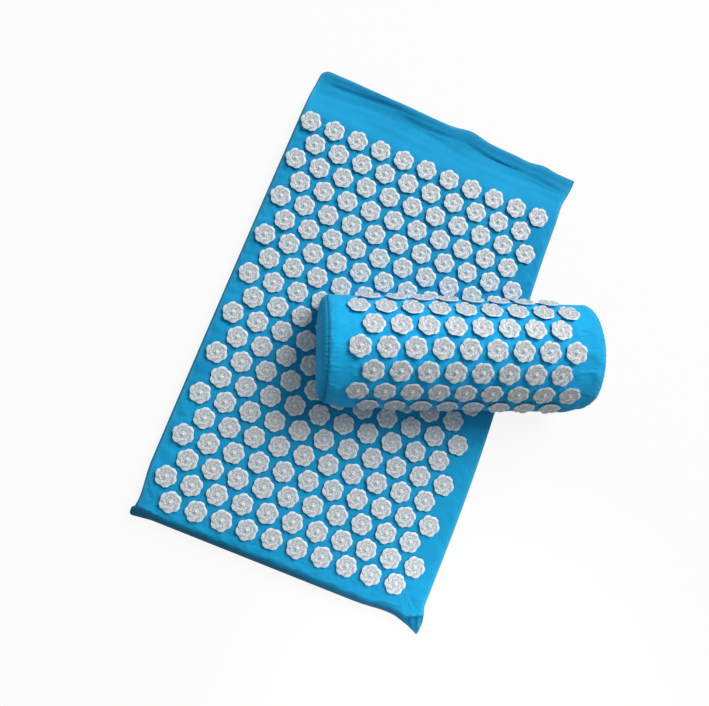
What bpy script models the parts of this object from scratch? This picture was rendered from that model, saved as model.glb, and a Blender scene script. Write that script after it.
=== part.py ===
# Acupressure mat with its neck pillow: cloth covers over foam, studded with petal discs.
# Metres. +X runs across the mat, +Y along it to the end that opens, +Z up.
# The origin is the centre of the mat's underside.

import math

import bmesh
import bpy
from mathutils import Matrix, Vector
from mathutils.geometry import delaunay_2d_cdt

# Cloth, tape and the clearance between pieces that touch
CLOTH = 0.0010
TAPE = 0.0010
SEAT_GAP = 0.0003
MERGE_REACH = 1e-7  # plan points nearer than this are one point

# Mat
MAT_WIDTH = 0.420
MAT_LENGTH = 0.688
MAT_FOAM = 0.018
EDGE_ROLL = 0.007  # how far in the rolled edge of the cover reaches
HEM_ROLL = 0.002  # the same where the cover lies flat, at the hem
HEM_LENGTH = 0.022  # flat hem past the crease
SLOPE_LENGTH = 0.027  # cloth that falls from the foam's end to the crease
SLOPE_LEAD = 0.012
FOAM_END_PLAY = 0.002
FOAM_END_ROLL = 0.004
FOAM_CORNER = 0.007  # the foam gives way by this at its foot corners
BACK_HEM_SHORT = 0.002  # the back hem ends this far inside the front one
BACK_HEM_DROP = 0.004

# How the cover lies out of square
FOOT_LEAN = 0.014  # run of the foot edge over the mat's width
HEAD_LEAN = 0.008
LEFT_LEAN = 0.011  # run of the left edge over the mat's length
SIDE_WAVE = 0.0045  # how far the right edge swings out and in
SIDE_CREST_SHARE = -0.1744  # of the mat's length, where it swings out most
LEFT_EAR = (-0.004, 0.001)  # pulled corner points at the foot
RIGHT_EAR = (0.002, -0.010)
EAR_PINCH_SHARE = 0.45

# Folds of the front hem
HEM_FOLD = 0.0022
HEM_FOLD_PITCH = 0.145
HEM_EDGE_WAVE = 0.002
HEM_EDGE_PITCH = 0.120
HEM_EDGE_CREST = 0.034
HEM_STEPS = 28
LEAD_STEPS = 3

# Hook and loop tape of the mat
MAT_TAPE_WIDTH = 0.014
MAT_TAPE_INSET = 0.003  # from the crease
MAT_TAPE_END_INSET = 0.020  # from the mat's long edges

# Lattice of discs on the mat
MAT_ROWS = 20
MAT_LONG_ROW = 11
HEAD_MARGIN = 0.0835  # from the head edge to the first row's centres
FOOT_MARGIN = 0.0402
LEFT_MARGIN = 0.024  # from the left edge to the first column's centres
RIGHT_MARGIN = 0.036
LOOSE_MAT_ROWS = (0, 19)  # rows whose discs are pieces of their own here

# Petal disc
PETALS = 6
DISC_FOOT = 0.0105
DISC_HEIGHT = 0.0090
PETAL_TIP = 0.0148
PETAL_NOTCH = 0.0129
TIP_LEVEL = 0.0046
NOTCH_LEVEL = 0.0040
OUTER_DIP = 0.0103
OUTER_DIP_LEVEL = 0.0034
CROWN_TIP = 0.0092
CROWN_NOTCH = 0.0080
CROWN_LEVEL = 0.0072
CROWN_NOTCH_LEVEL = 0.0057
INNER_DIP = 0.0062
INNER_DIP_LEVEL = 0.0048
BUD = 0.0032
BUD_LEVEL = 0.0064
TURN_SHARE = 0.618  # of one petal's angle, from each disc to the next

# Neck pillow
PILLOW_LENGTH = 0.364  # between its end seams
ARCH_RADIUS = 0.0753
ARCH_CENTRE = 0.0223  # height of the arch's axis over the base
BASE_CORNER = 0.010
END_BULGE = 0.010
END_DRAW = 0.0022  # how far the cover draws in at its end seams
END_DRAW_LENGTH = 0.014
END_CENTRE = 0.045  # height of the middle of an end panel
PILLOW_INSET = 0.0896  # of its middle, from the mat's right edge
PILLOW_Y = 0.0184
PILLOW_YAW = 0.3421  # radians, from +X towards +Y
ARCH_STEPS = 20
CORNER_STEPS = 3

# Lattice of discs on the pillow
PILLOW_ROWS = 7
PILLOW_LONG_ROW = 9
PILLOW_PITCH_SHARE = 0.09725  # of the pillow's length, from disc to disc
PILLOW_ROW_PITCH = 0.0291  # measured round the cloth
PILLOW_DISC_SHIFT = -0.002
LOOSE_PILLOW_ROWS = (3,)
DISC_MARGIN = 0.003  # bare cloth kept round a disc's foot

# Closure in the pillow's base, where one half laps the other
LAP = 0.020
LAP_RAMP = 0.006
LAP_PLAY = 0.002
PILLOW_TAPE_WIDTH = 0.014
PILLOW_TAPE_INSET = 0.022  # from the end seams

# Shares of the sizes above
ROLL_ANGLES = tuple(math.radians(angle) for angle in (0, 30, 60, 90))
HEAD_RING_SHARES = (0.0, 0.3, 0.62, 1.0)
FOOT_SHARES = (0.04, 0.15, 0.3, 0.5, 0.7, 0.85, 0.96)
SIDE_SHARES = (0.03, 0.1, 0.2, 0.32, 0.44, 0.56, 0.68, 0.8, 0.9)
HEAD_SHARES = (0.02, 0.1, 0.22, 0.36, 0.5, 0.64, 0.78, 0.9, 0.98)
HEM_LENGTH_SHARES = (0.0, 0.2, 0.42, 0.72, 1.0)
HEM_RISE_SHARES = (0.0, 1.0, 0.1, 0.5, 0.0)
END_SIZE_SHARES = (1.0, 0.93, 0.7)
END_BULGE_SHARES = (0.0, 0.6, 0.92)
PILLOW_MARGIN_SHARES = (0.98, 0.925, 0.825)
PILLOW_MIDDLE_SHARES = (0.6, 0.4, 0.2, 0.0)
BASE_SHARES = (0.33, -0.33)

# Derived levels and lengths
HOOK_LEVEL = CLOTH + SEAT_GAP
LOOP_LEVEL = HOOK_LEVEL + TAPE + SEAT_GAP
HEM_LEVEL = LOOP_LEVEL + TAPE + SEAT_GAP
HEM_TOP = HEM_LEVEL + CLOTH
MAT_TOP = MAT_FOAM + 2 * (CLOTH + SEAT_GAP)
HEAD_EDGE = MAT_LENGTH / 2
FOOT_EDGE = -MAT_LENGTH / 2
CREASE = HEAD_EDGE - HEM_LENGTH
SLOPE_START = CREASE - SLOPE_LENGTH
PILLOW_BASE = MAT_TOP + DISC_HEIGHT + SEAT_GAP
MAT_TAPE_LENGTH = MAT_WIDTH - 2 * MAT_TAPE_END_INSET
DISC_PITCH = (MAT_WIDTH - LEFT_MARGIN - RIGHT_MARGIN) / (MAT_LONG_ROW - 1)
ROW_PITCH = (MAT_LENGTH - HEAD_MARGIN - FOOT_MARGIN) / (MAT_ROWS - 1)
SIDE_CREST = MAT_LENGTH * SIDE_CREST_SHARE
PILLOW_X = MAT_WIDTH / 2 - PILLOW_INSET
PILLOW_END = PILLOW_LENGTH / 2
PILLOW_TAPE_LENGTH = PILLOW_LENGTH - 2 * PILLOW_TAPE_INSET
PILLOW_DISC_PITCH = PILLOW_LENGTH * PILLOW_PITCH_SHARE
CORNER_REACH = ARCH_RADIUS - BASE_CORNER
ARCH_ANGLE = math.acos((BASE_CORNER - ARCH_CENTRE) / CORNER_REACH)
ARCH_RUN = ARCH_RADIUS * ARCH_ANGLE
CORNER_RUN = BASE_CORNER * (math.pi - ARCH_ANGLE)
BASE_SEAM = CORNER_REACH * math.sin(ARCH_ANGLE)


def mix(first, last, share):
    return first + (last - first) * share


def smooth(share):
    share = min(max(share, 0.0), 1.0)
    return share * share * (3 - 2 * share)


# Materials

def finish(name, colour, roughness):
    material = bpy.data.materials.new(name)
    material.use_nodes = True
    shader = material.node_tree.nodes["Principled BSDF"]
    shader.inputs["Base Color"].default_value = (*colour, 1.0)
    shader.inputs["Roughness"].default_value = roughness
    shader.inputs["Metallic"].default_value = 0.0
    material.diffuse_color = (*colour, 1.0)
    return material


def blue_cotton(name):
    return finish(name + "_cotton", (0.013, 0.335, 0.640), 0.85)


def white_plastic(name):
    return finish(name + "_plastic", (0.80, 0.81, 0.82), 0.35)


def pale_foam(name):
    return finish(name + "_foam", (0.86, 0.83, 0.74), 0.95)


def blue_tape(name):
    return finish(name + "_tape", (0.02, 0.24, 0.45), 0.90)


# Mesh helpers

def solid_from(name, points, faces, material, parent=None):
    mesh = bpy.data.meshes.new(name)
    mesh.from_pydata([tuple(point) for point in points], [], faces)
    work = bmesh.new()
    work.from_mesh(mesh)
    bmesh.ops.recalc_face_normals(work, faces=work.faces)
    bmesh.ops.triangulate(work, faces=work.faces)
    work.to_mesh(mesh)
    work.free()
    mesh.materials.append(material)
    piece = bpy.data.objects.new(name, mesh)
    bpy.context.scene.collection.objects.link(piece)
    piece.parent = parent
    return piece


def add_ring(points, ring):
    start = len(points)
    points.extend(ring)
    return list(range(start, len(points)))


def band(first, second, closed=True):
    count = len(first)
    steps = count if closed else count - 1
    pairs = [(step, (step + 1) % count) for step in range(steps)]
    return [(first[here], first[there], second[there], second[here]) for here, there in pairs]


def box(name, size, location, turn, material, parent=None):
    half = Vector(size) / 2
    points = []
    rings = []
    for level in (-half.z, half.z):
        corners = ((-half.x, -half.y), (half.x, -half.y), (half.x, half.y), (-half.x, half.y))
        rings.append(add_ring(points, [Vector((x, y, level)) for x, y in corners]))
    faces = band(rings[0], rings[1]) + [tuple(rings[0]), tuple(rings[1])]
    piece = solid_from(name, points, faces, material, parent)
    piece.location = location
    piece.rotation_euler.z = turn
    return piece


def empty_at(name, location, turn):
    holder = bpy.data.objects.new(name, None)
    bpy.context.scene.collection.objects.link(holder)
    holder.location = location
    holder.rotation_euler.z = turn
    return holder


def inside_triangles(plan, outline):
    """Triangles between plan points, inside the closed outline of point numbers."""
    edges = [(outline[i], outline[(i + 1) % len(outline)]) for i in range(len(outline))]
    _, _, faces, sources, _, _ = delaunay_2d_cdt(plan, edges, [], 1, MERGE_REACH)
    return [tuple(sources[corner][0] for corner in face) for face in faces]


# Petal discs

def disc_turn(index):
    return math.tau / PETALS * (index * TURN_SHARE % 1.0)


def disc_ring(frame, turn, count, radii, levels):
    """Points round a disc, which take the radii and levels in turn."""
    ring = []
    for step in range(count):
        angle = turn + math.tau * step / count
        radius = radii[step % len(radii)]
        level = levels[step % len(levels)]
        ring.append(frame @ Vector((radius * math.cos(angle), radius * math.sin(angle), level)))
    return ring


def fan(ring, centre):
    return [(ring[step], ring[(step + 1) % len(ring)], centre) for step in range(len(ring))]


def widen(narrow, wide):
    """Triangles from a ring of points to one with twice as many, tip beside point."""
    faces = []
    count = len(narrow)
    for step in range(count):
        here, there = narrow[step], narrow[(step + 1) % count]
        tip, notch = wide[2 * step], wide[2 * step + 1]
        next_tip = wide[(2 * step + 2) % len(wide)]
        faces += [(here, notch, tip), (here, there, notch), (there, next_tip, notch)]
    return faces


def plain_disc(points, foot, frame, turn):
    """Walls and top of a disc that grows out of the cloth at its foot's six points."""
    rim = disc_ring(frame, turn, 2 * PETALS, (PETAL_TIP, PETAL_NOTCH), (TIP_LEVEL, NOTCH_LEVEL))
    rim = add_ring(points, rim)
    centre = add_ring(points, [frame @ Vector((0, 0, DISC_HEIGHT))])[0]
    return widen(foot, rim) + fan(rim, centre)


def full_disc(name, turn, parent):
    """A disc by itself: flared petals, a crown of petals turned half a step, and a bud."""
    points = []
    frame = Matrix.Identity(4)
    half = math.pi / PETALS
    double = 2 * PETALS
    tips = (PETAL_TIP, PETAL_NOTCH)
    crown = (CROWN_TIP, CROWN_NOTCH)
    foot = add_ring(points, disc_ring(frame, turn, double, (DISC_FOOT,), (0,)))
    rim = add_ring(points, disc_ring(frame, turn, double, tips, (TIP_LEVEL, NOTCH_LEVEL)))
    dip = add_ring(points, disc_ring(frame, turn, double, (OUTER_DIP,), (OUTER_DIP_LEVEL,)))
    ring = disc_ring(frame, turn + half, double, crown, (CROWN_LEVEL, CROWN_NOTCH_LEVEL))
    top = add_ring(points, ring[-1:] + ring[:-1])
    low = add_ring(points, disc_ring(frame, turn + half, PETALS, (INNER_DIP,), (INNER_DIP_LEVEL,)))
    bud = add_ring(points, disc_ring(frame, turn, PETALS, (BUD,), (BUD_LEVEL,)))
    centre = add_ring(points, [frame @ Vector((0, 0, DISC_HEIGHT))])[0]
    faces = band(foot, rim) + band(rim, dip) + band(dip, top)
    faces += widen(low, top[1:] + top[:1]) + band(low, bud) + fan(bud, centre)
    faces.append(tuple(foot))
    return solid_from(name, points, faces, white_plastic(name), parent)


def mat_discs():
    """(index, row, centre) of each disc on the mat."""
    index = 0
    for row in range(MAT_ROWS):
        y = HEAD_EDGE - HEAD_MARGIN - row * ROW_PITCH
        for column in range(MAT_LONG_ROW - row % 2):
            x = LEFT_MARGIN - MAT_WIDTH / 2 + (column + row % 2 / 2) * DISC_PITCH
            yield index, row, Vector((x, y))
            index += 1


def pillow_discs():
    """(index, row, centre) of each disc on the pillow, the centre along it and round its cloth."""
    index = 0
    for row in range(PILLOW_ROWS):
        count = PILLOW_LONG_ROW - (row + 1) % 2
        run = (row - (PILLOW_ROWS - 1) / 2) * PILLOW_ROW_PITCH
        for column in range(count):
            along = (column - (count - 1) / 2) * PILLOW_DISC_PITCH + PILLOW_DISC_SHIFT
            yield index, row, Vector((along, run))
            index += 1


def foot_plan(centre, turn):
    spots = []
    for step in range(PETALS):
        angle = turn + math.tau * step / PETALS
        spots.append(centre + DISC_FOOT * Vector((math.cos(angle), math.sin(angle))))
    return spots


def studded_faces(points, edge, plan, extras, discs, place, frame_at):
    """Faces of cloth that fills the edge loop, with discs growing out of it."""
    plan = list(plan)
    numbers = list(edge)
    for spot in extras:
        plan.append(spot)
        numbers += add_ring(points, [place(spot)])
    feet = []
    for index, centre in discs:
        spots = foot_plan(centre, disc_turn(index))
        plan += spots
        foot = add_ring(points, [place(spot) for spot in spots])
        numbers += foot
        feet.append((index, centre, foot))
    owner = {number: index for index, _, foot in feet for number in foot}
    faces = []
    for triangle in inside_triangles(plan, list(range(len(edge)))):
        corners = tuple(numbers[corner] for corner in triangle)
        owners = {owner.get(corner) for corner in corners}
        if len(owners) > 1 or None in owners:
            faces.append(corners)
    for index, centre, foot in feet:
        faces += plain_disc(points, foot, frame_at(centre), disc_turn(index))
    return faces


# The mat's outline, as the cloth lies

def lie(x, y):
    across = x / MAT_WIDTH
    along = (y - FOOT_EDGE) / MAT_LENGTH
    lean = mix(FOOT_LEAN, HEAD_LEAN, along)
    swing = SIDE_WAVE * math.cos(math.tau * (y - SIDE_CREST) / MAT_LENGTH)
    pull = LEFT_LEAN * (along - 0.5) * (0.5 - across) + swing * (0.5 + across)
    return x + pull, y - lean * across


def hem_turn():
    """Angle at which the crease lies across the mat."""
    left = Vector(lie(-MAT_WIDTH / 2, CREASE))
    right = Vector(lie(MAT_WIDTH / 2, CREASE))
    return math.atan2(right.y - left.y, right.x - left.x)


def fall(y):
    return smooth((y - SLOPE_START) / SLOPE_LENGTH)


def front_level(y, depth):
    return mix(MAT_TOP, HEM_TOP, fall(y)) - depth


def front_seam(y):
    return mix(MAT_TOP / 2, HEM_LEVEL, fall(y)) + SEAT_GAP / 2


def back_seam(y):
    wall = mix(MAT_TOP / 2, HEM_LEVEL, fall(y)) - SEAT_GAP / 2
    return mix(wall, CLOTH, smooth((y - CREASE) / BACK_HEM_DROP))


def roll_inset(y, depth, angle):
    roll = mix(EDGE_ROLL, HEM_ROLL, fall(y))
    return depth + (roll - depth) * (1 - math.cos(angle))


def steps_to(last):
    """Stations along the sides from the flat body of the mat to a ring's head edge."""
    return [mix(SLOPE_START - SLOPE_LEAD, last, step / LEAD_STEPS) for step in range(LEAD_STEPS + 1)]


def outline_ring(angle, depth, lead, level):
    """Points round the mat at one roll angle: foot edge, right side, head edge, left side."""
    half = MAT_WIDTH / 2
    head = lead[-1]
    foot = FOOT_EDGE + roll_inset(FOOT_EDGE, depth, angle)
    side = [foot] + [mix(FOOT_EDGE, lead[0], share) for share in SIDE_SHARES] + lead

    def spot(x, y, kind):
        return Vector((*lie(x, y), level(y, kind)))

    def edge(y):
        return half - roll_inset(y, depth, angle)

    ring = [spot(mix(-edge(foot), edge(foot), share), foot, "foot") for share in FOOT_SHARES]
    right = [spot(edge(y), y, "side") for y in side]
    across = [spot(mix(edge(head), -edge(head), share), head, "head") for share in HEAD_SHARES]
    left = [spot(-edge(y), y, "side") for y in reversed(side)]
    return ring, right, across, left


def eared_ring(angle, depth, lead, level):
    """The outline with the cloth pulled to a pinched point at each foot corner."""
    foot, right, across, left = outline_ring(angle, depth, lead, level)
    reach = math.cos(angle)
    for corner, ear in ((right[0], RIGHT_EAR), (left[-1], LEFT_EAR)):
        corner.x += ear[0] * reach
        corner.y += ear[1] * reach
        corner.z = mix(MAT_TOP / 2, corner.z, mix(1, EAR_PINCH_SHARE, reach))
    return foot + right + across + left


def cut_ring(angle, depth, lead, level):
    """The outline with its foot corners cut, as the foam gives way there."""
    foot, right, across, left = outline_ring(angle, depth, lead, level)
    for corner, side in ((right[0], 1), (left[-1], -1)):
        corner.x -= side * FOAM_CORNER
        corner.y += FOAM_CORNER
    return foot + right + across + left


def front_ring(step, depth):
    angle = ROLL_ANGLES[step]
    head = mix(CREASE, SLOPE_START, HEAD_RING_SHARES[step])

    def level(y, kind):
        top = front_level(y, depth)
        if kind == "head":
            return top
        return mix(front_seam(y), top, math.sin(angle))

    return eared_ring(angle, depth, steps_to(head), level)


def back_ring(step, depth):
    angle = ROLL_ANGLES[step]
    head = HEAD_EDGE - BACK_HEM_SHORT - roll_inset(HEAD_EDGE, depth, angle)

    def level(y, kind):
        return mix(back_seam(y), depth, math.sin(angle))

    lead = steps_to(CREASE) + [CREASE + BACK_HEM_DROP, head]
    return eared_ring(angle, depth, lead, level)


def mat_front_cover():
    points = []
    outer = [add_ring(points, front_ring(step, 0)) for step in range(len(ROLL_ANGLES))]
    inner = [add_ring(points, front_ring(step, CLOTH)) for step in range(len(ROLL_ANGLES))]
    faces = band(outer[0], inner[0])
    for rings in (outer, inner):
        for first, second in zip(rings, rings[1:]):
            faces += band(first, second)
    inner_plan = [points[number].xy for number in inner[-1]]
    inner_fill = inside_triangles(inner_plan, list(range(len(inner_plan))))
    faces += [tuple(inner[-1][corner] for corner in triangle) for triangle in inner_fill]
    discs = [(index, centre) for index, row, centre in mat_discs() if row not in LOOSE_MAT_ROWS]
    plan = [points[number].xy for number in outer[-1]]

    def place(spot):
        return Vector((spot.x, spot.y, MAT_TOP))

    def frame_at(centre):
        return Matrix.Translation(place(centre))

    faces += studded_faces(points, outer[-1], plan, [], discs, place, frame_at)
    return solid_from("mat_front_cover", points, faces, blue_cotton("mat_front_cover"))


def mat_back_cover():
    points = []
    faces = []
    outer = [add_ring(points, back_ring(step, 0)) for step in range(len(ROLL_ANGLES))]
    inner = [add_ring(points, back_ring(step, CLOTH)) for step in range(len(ROLL_ANGLES))]
    faces += band(outer[0], inner[0])
    for rings in (outer, inner):
        for first, second in zip(rings, rings[1:]):
            faces += band(first, second)
        plan = [points[number].xy for number in rings[-1]]
        fill = inside_triangles(plan, list(range(len(plan))))
        faces += [tuple(rings[-1][corner] for corner in triangle) for triangle in fill]
    return solid_from("mat_back_cover", points, faces, blue_cotton("mat_back_cover"))


def mat_foam():
    """The foam block, whose long edges are rounded to fill the cover."""
    points = []
    rings = []
    depth = CLOTH + SEAT_GAP
    end = SLOPE_START - FOAM_END_PLAY
    angles = [-angle for angle in reversed(ROLL_ANGLES[1:])] + list(ROLL_ANGLES)
    for angle in angles:
        head = end - FOAM_END_ROLL * (1 - math.cos(angle))
        height = MAT_TOP / 2 + MAT_FOAM / 2 * math.sin(angle)
        ring = cut_ring(angle, depth, steps_to(head), lambda y, kind: height)
        rings.append(add_ring(points, ring))
    faces = [tuple(rings[0]), tuple(rings[-1])]
    for first, second in zip(rings, rings[1:]):
        faces += band(first, second)
    return solid_from("mat_foam", points, faces, pale_foam("mat_foam"))


def hem_spot(share, along_share):
    """Plan place of a point on the front hem before the cloth leans, and the fold's height there."""
    x = (share - 0.5) * MAT_WIDTH
    y = mix(CREASE + SEAT_GAP, HEAD_EDGE, along_share)
    y += along_share * HEM_EDGE_WAVE * math.cos(math.tau * (x - HEM_EDGE_CREST) / HEM_EDGE_PITCH)
    ends = math.sin(math.pi * share)
    ripple = (1 + math.cos(math.tau * x / HEM_FOLD_PITCH + along_share * math.pi)) / 2
    return x, y, HEM_FOLD * ends * ripple


def mat_front_hem(hinge):
    points = []
    tops = []
    bottoms = []
    place = hinge.matrix_basis.inverted()
    for along_share, rise_share in zip(HEM_LENGTH_SHARES, HEM_RISE_SHARES):
        top = []
        bottom = []
        for step in range(HEM_STEPS + 1):
            x, y, fold = hem_spot(step / HEM_STEPS, along_share)
            top.append(place @ Vector((*lie(x, y), HEM_TOP + fold * rise_share)))
            bottom.append(place @ Vector((*lie(x, y), HEM_LEVEL)))
        tops.append(add_ring(points, top))
        bottoms.append(add_ring(points, bottom))
    faces = band(tops[0], bottoms[0], closed=False) + band(tops[-1], bottoms[-1], closed=False)
    for rows in (tops, bottoms):
        for first, second in zip(rows, rows[1:]):
            faces += band(first, second, closed=False)
    for end in (0, -1):
        upper = [row[end] for row in tops]
        lower = [row[end] for row in bottoms]
        faces += band(upper, lower, closed=False)
    return solid_from("mat_front_hem", points, faces, blue_cotton("mat_front_hem"), hinge)


def mat_tapes(hinge):
    turn = hem_turn()
    size = (MAT_TAPE_LENGTH, MAT_TAPE_WIDTH, TAPE)
    x, y = lie(0, CREASE + MAT_TAPE_INSET + MAT_TAPE_WIDTH / 2)
    hook_place = (x, y, HOOK_LEVEL + TAPE / 2)
    box("mat_hook_tape", size, hook_place, turn, blue_tape("mat_hook_tape"))
    loop_place = hinge.matrix_basis.inverted() @ Vector((x, y, LOOP_LEVEL + TAPE / 2))
    box("mat_loop_tape", size, loop_place, 0, blue_tape("mat_loop_tape"), hinge)


def loose_mat_discs():
    number = 0
    for index, row, centre in mat_discs():
        if row in LOOSE_MAT_ROWS:
            number += 1
            piece = full_disc(f"mat_disc_{number:02d}", disc_turn(index), None)
            piece.location = (centre.x, centre.y, MAT_TOP + SEAT_GAP)


# The pillow's section, from the middle of the arch round to the base seams

def end_draw(along):
    share = max(0.0, (abs(along) - PILLOW_END + END_DRAW_LENGTH) / END_DRAW_LENGTH)
    return END_DRAW * share * share


def arch_normal(run):
    """Angle from straight up of the cloth's outward direction, at a run round from the crest."""
    size = abs(run)
    angle = size / ARCH_RADIUS
    if size > ARCH_RUN:
        angle = ARCH_ANGLE + (size - ARCH_RUN) / BASE_CORNER
    return math.copysign(angle, run)


def arch_spot(along, run, depth=0.0):
    angle = abs(arch_normal(run))
    inset = depth + end_draw(along) * (1 + math.cos(angle)) / 2
    if angle <= ARCH_ANGLE:
        y = (ARCH_RADIUS - inset) * math.sin(angle)
        z = ARCH_CENTRE + (ARCH_RADIUS - inset) * math.cos(angle)
    else:
        y = BASE_SEAM + (BASE_CORNER - inset) * math.sin(angle)
        z = BASE_CORNER + (BASE_CORNER - inset) * math.cos(angle)
    return Vector((along, math.copysign(y, run), z))


def arch_runs():
    """Runs round the cloth at which the section has a point, seam to seam."""
    arch = [ARCH_RUN * (2 * step / ARCH_STEPS - 1) for step in range(ARCH_STEPS + 1)]
    corner = [ARCH_RUN + CORNER_RUN * step / CORNER_STEPS for step in range(1, CORNER_STEPS + 1)]
    return [-run for run in reversed(corner)] + arch + corner


def arch_frame(centre, lift=0.0):
    """Where a disc sits on the arch: X along the pillow, Z out of the cloth."""
    angle = arch_normal(centre.y)
    spot = arch_spot(centre.x, centre.y, -lift)
    return Matrix.Translation(spot) @ Matrix.Rotation(-angle, 4, "X")


def arch_stations():
    near = PILLOW_END - END_DRAW_LENGTH
    middle = PILLOW_END - END_DRAW_LENGTH / 2
    return [-PILLOW_END, -middle, -near, near, middle, PILLOW_END]


def cloth_spots():
    """Plan points that carry the cloth's curve where no disc's foot does."""
    feet = [centre for _, _, centre in pillow_discs()]
    clear = DISC_FOOT + DISC_MARGIN
    runs = arch_runs()
    alongs = [share * PILLOW_END * side for share in PILLOW_MARGIN_SHARES for side in (-1, 1)]
    spots = [Vector((along, run)) for along in alongs for run in runs[1:-1]]
    outer_row = PILLOW_ROW_PITCH * (PILLOW_ROWS - 1) / 2
    low_runs = [run for run in runs[1:-1] if abs(run) > outer_row]
    for share in PILLOW_MIDDLE_SHARES:
        for side in (-1, 1) if share else (1,):
            spots += [Vector((share * PILLOW_END * side, run)) for run in low_runs]
    return [spot for spot in spots if all((spot - foot).length > clear for foot in feet)]


def pillow_front_cover(holder):
    points = []
    runs = arch_runs()
    stations = arch_stations()
    plan = [Vector((stations[0], run)) for run in runs]
    plan += [Vector((along, runs[-1])) for along in stations[1:-1]]
    plan += [Vector((stations[-1], run)) for run in reversed(runs)]
    plan += [Vector((along, runs[0])) for along in reversed(stations[1:-1])]
    outer = add_ring(points, [arch_spot(spot.x, spot.y) for spot in plan])
    columns = []
    for along in stations:
        columns.append(add_ring(points, [arch_spot(along, run, CLOTH) for run in runs]))
    faces = []
    for first, second in zip(columns, columns[1:]):
        faces += band(first, second, closed=False)
    inner = columns[0] + [column[-1] for column in columns[1:-1]]
    inner += list(reversed(columns[-1])) + [column[0] for column in reversed(columns[1:-1])]
    faces += band(outer, inner)
    discs = []
    extras = cloth_spots()
    for index, row, centre in pillow_discs():
        if row in LOOSE_PILLOW_ROWS:
            extras += [centre] + foot_plan(centre, disc_turn(index))
        else:
            discs.append((index, centre))

    def place(spot):
        return arch_spot(spot.x, spot.y)

    faces += studded_faces(points, outer, plan, extras, discs, place, arch_frame)
    name = "pillow_front_cover"
    return solid_from(name, points, faces, blue_cotton(name), holder)


def end_ring(side, size_share, bulge_share, depth, base_line):
    """A ring of an end: the section, drawn towards the end's middle and bulged out."""
    along = side * (PILLOW_END + SEAT_GAP + max(0.0, END_BULGE * bulge_share - depth))
    section = [arch_spot(PILLOW_END, run, depth) for run in arch_runs()]
    section += [Vector((0, y, z)) for y, z in base_line]
    ring = []
    for spot in section:
        z = mix(END_CENTRE, spot.z, size_share)
        ring.append(Vector((along, spot.y * size_share, z)))
    return ring


def end_cap(points, side, depth, base_line):
    """Rings of an end from its seam inwards, and the point at its middle."""
    rings = []
    for size_share, bulge_share in zip(END_SIZE_SHARES, END_BULGE_SHARES):
        rings.append(add_ring(points, end_ring(side, size_share, bulge_share, depth, base_line)))
    tip = Vector((side * (PILLOW_END + SEAT_GAP + END_BULGE - depth), 0, END_CENTRE))
    centre = add_ring(points, [tip])[0]
    faces = fan(rings[-1], centre)
    for first, second in zip(rings, rings[1:]):
        faces += band(first, second)
    return rings[0], faces


def flat_base(depth):
    return [(BASE_SEAM * share, depth) for share in BASE_SHARES]


def pillow_end(name, side, holder):
    points = []
    outer, faces = end_cap(points, side, 0.0, flat_base(0.0))
    inner, inner_faces = end_cap(points, side, CLOTH, flat_base(CLOTH))
    faces += inner_faces + band(outer, inner)
    return solid_from(name, points, faces, blue_cotton(name), holder)


def pillow_foam(holder):
    points = []
    depth = CLOTH + SEAT_GAP
    groove = HEM_TOP + SEAT_GAP
    base_line = [
        (LAP / 2 + LAP_RAMP + LAP_PLAY, depth),
        (LAP / 2 + LAP_PLAY, groove),
        (-LAP / 2 - LAP_PLAY, groove),
        (-LAP / 2 - LAP_PLAY, depth),
    ]
    left, faces = end_cap(points, -1, depth, base_line)
    right, right_faces = end_cap(points, 1, depth, base_line)
    faces += right_faces
    rings = [left]
    for along in arch_stations()[1:-1]:
        section = [arch_spot(along, run, depth) for run in arch_runs()]
        section += [Vector((along, y, z)) for y, z in base_line]
        rings.append(add_ring(points, section))
    rings.append(right)
    for first, second in zip(rings, rings[1:]):
        faces += band(first, second)
    return solid_from("pillow_foam", points, faces, pale_foam("pillow_foam"), holder)


def prism(name, outline, material, holder):
    """An outline across the pillow, drawn out along it from seam to seam."""
    points = []
    rings = []
    for along in (-PILLOW_END, PILLOW_END):
        rings.append(add_ring(points, [Vector((along, y, z)) for y, z in outline]))
    faces = band(rings[0], rings[1]) + [tuple(rings[0]), tuple(rings[1])]
    return solid_from(name, points, faces, material, holder)


def pillow_base(holder):
    """Two halves of the base cloth, the rear one lapped over the front one inside the pillow."""
    seam = BASE_SEAM - SEAT_GAP
    lap = LAP / 2
    front = [(-seam, 0), (lap, 0), (lap, CLOTH), (-seam, CLOTH)]
    prism("pillow_base_front", front, blue_cotton("pillow_base_front"), holder)
    ramp = lap + LAP_RAMP
    rear = [
        (seam, 0),
        (ramp, 0),
        (lap + CLOTH, HEM_LEVEL),
        (-lap, HEM_LEVEL),
        (-lap, HEM_TOP),
        (lap + CLOTH, HEM_TOP),
        (ramp + CLOTH, CLOTH),
        (seam, CLOTH),
    ]
    prism("pillow_base_rear", rear, blue_cotton("pillow_base_rear"), holder)
    size = (PILLOW_TAPE_LENGTH, PILLOW_TAPE_WIDTH, TAPE)
    hook_place = (0, 0, HOOK_LEVEL + TAPE / 2)
    box("pillow_hook_tape", size, hook_place, 0, blue_tape("pillow_hook_tape"), holder)
    loop_place = (0, 0, LOOP_LEVEL + TAPE / 2)
    box("pillow_loop_tape", size, loop_place, 0, blue_tape("pillow_loop_tape"), holder)


def loose_pillow_discs(holder):
    number = 0
    for index, row, centre in pillow_discs():
        if row in LOOSE_PILLOW_ROWS:
            number += 1
            piece = full_disc(f"pillow_disc_{number:02d}", disc_turn(index), holder)
            piece.matrix_basis = arch_frame(centre, SEAT_GAP)


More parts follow.
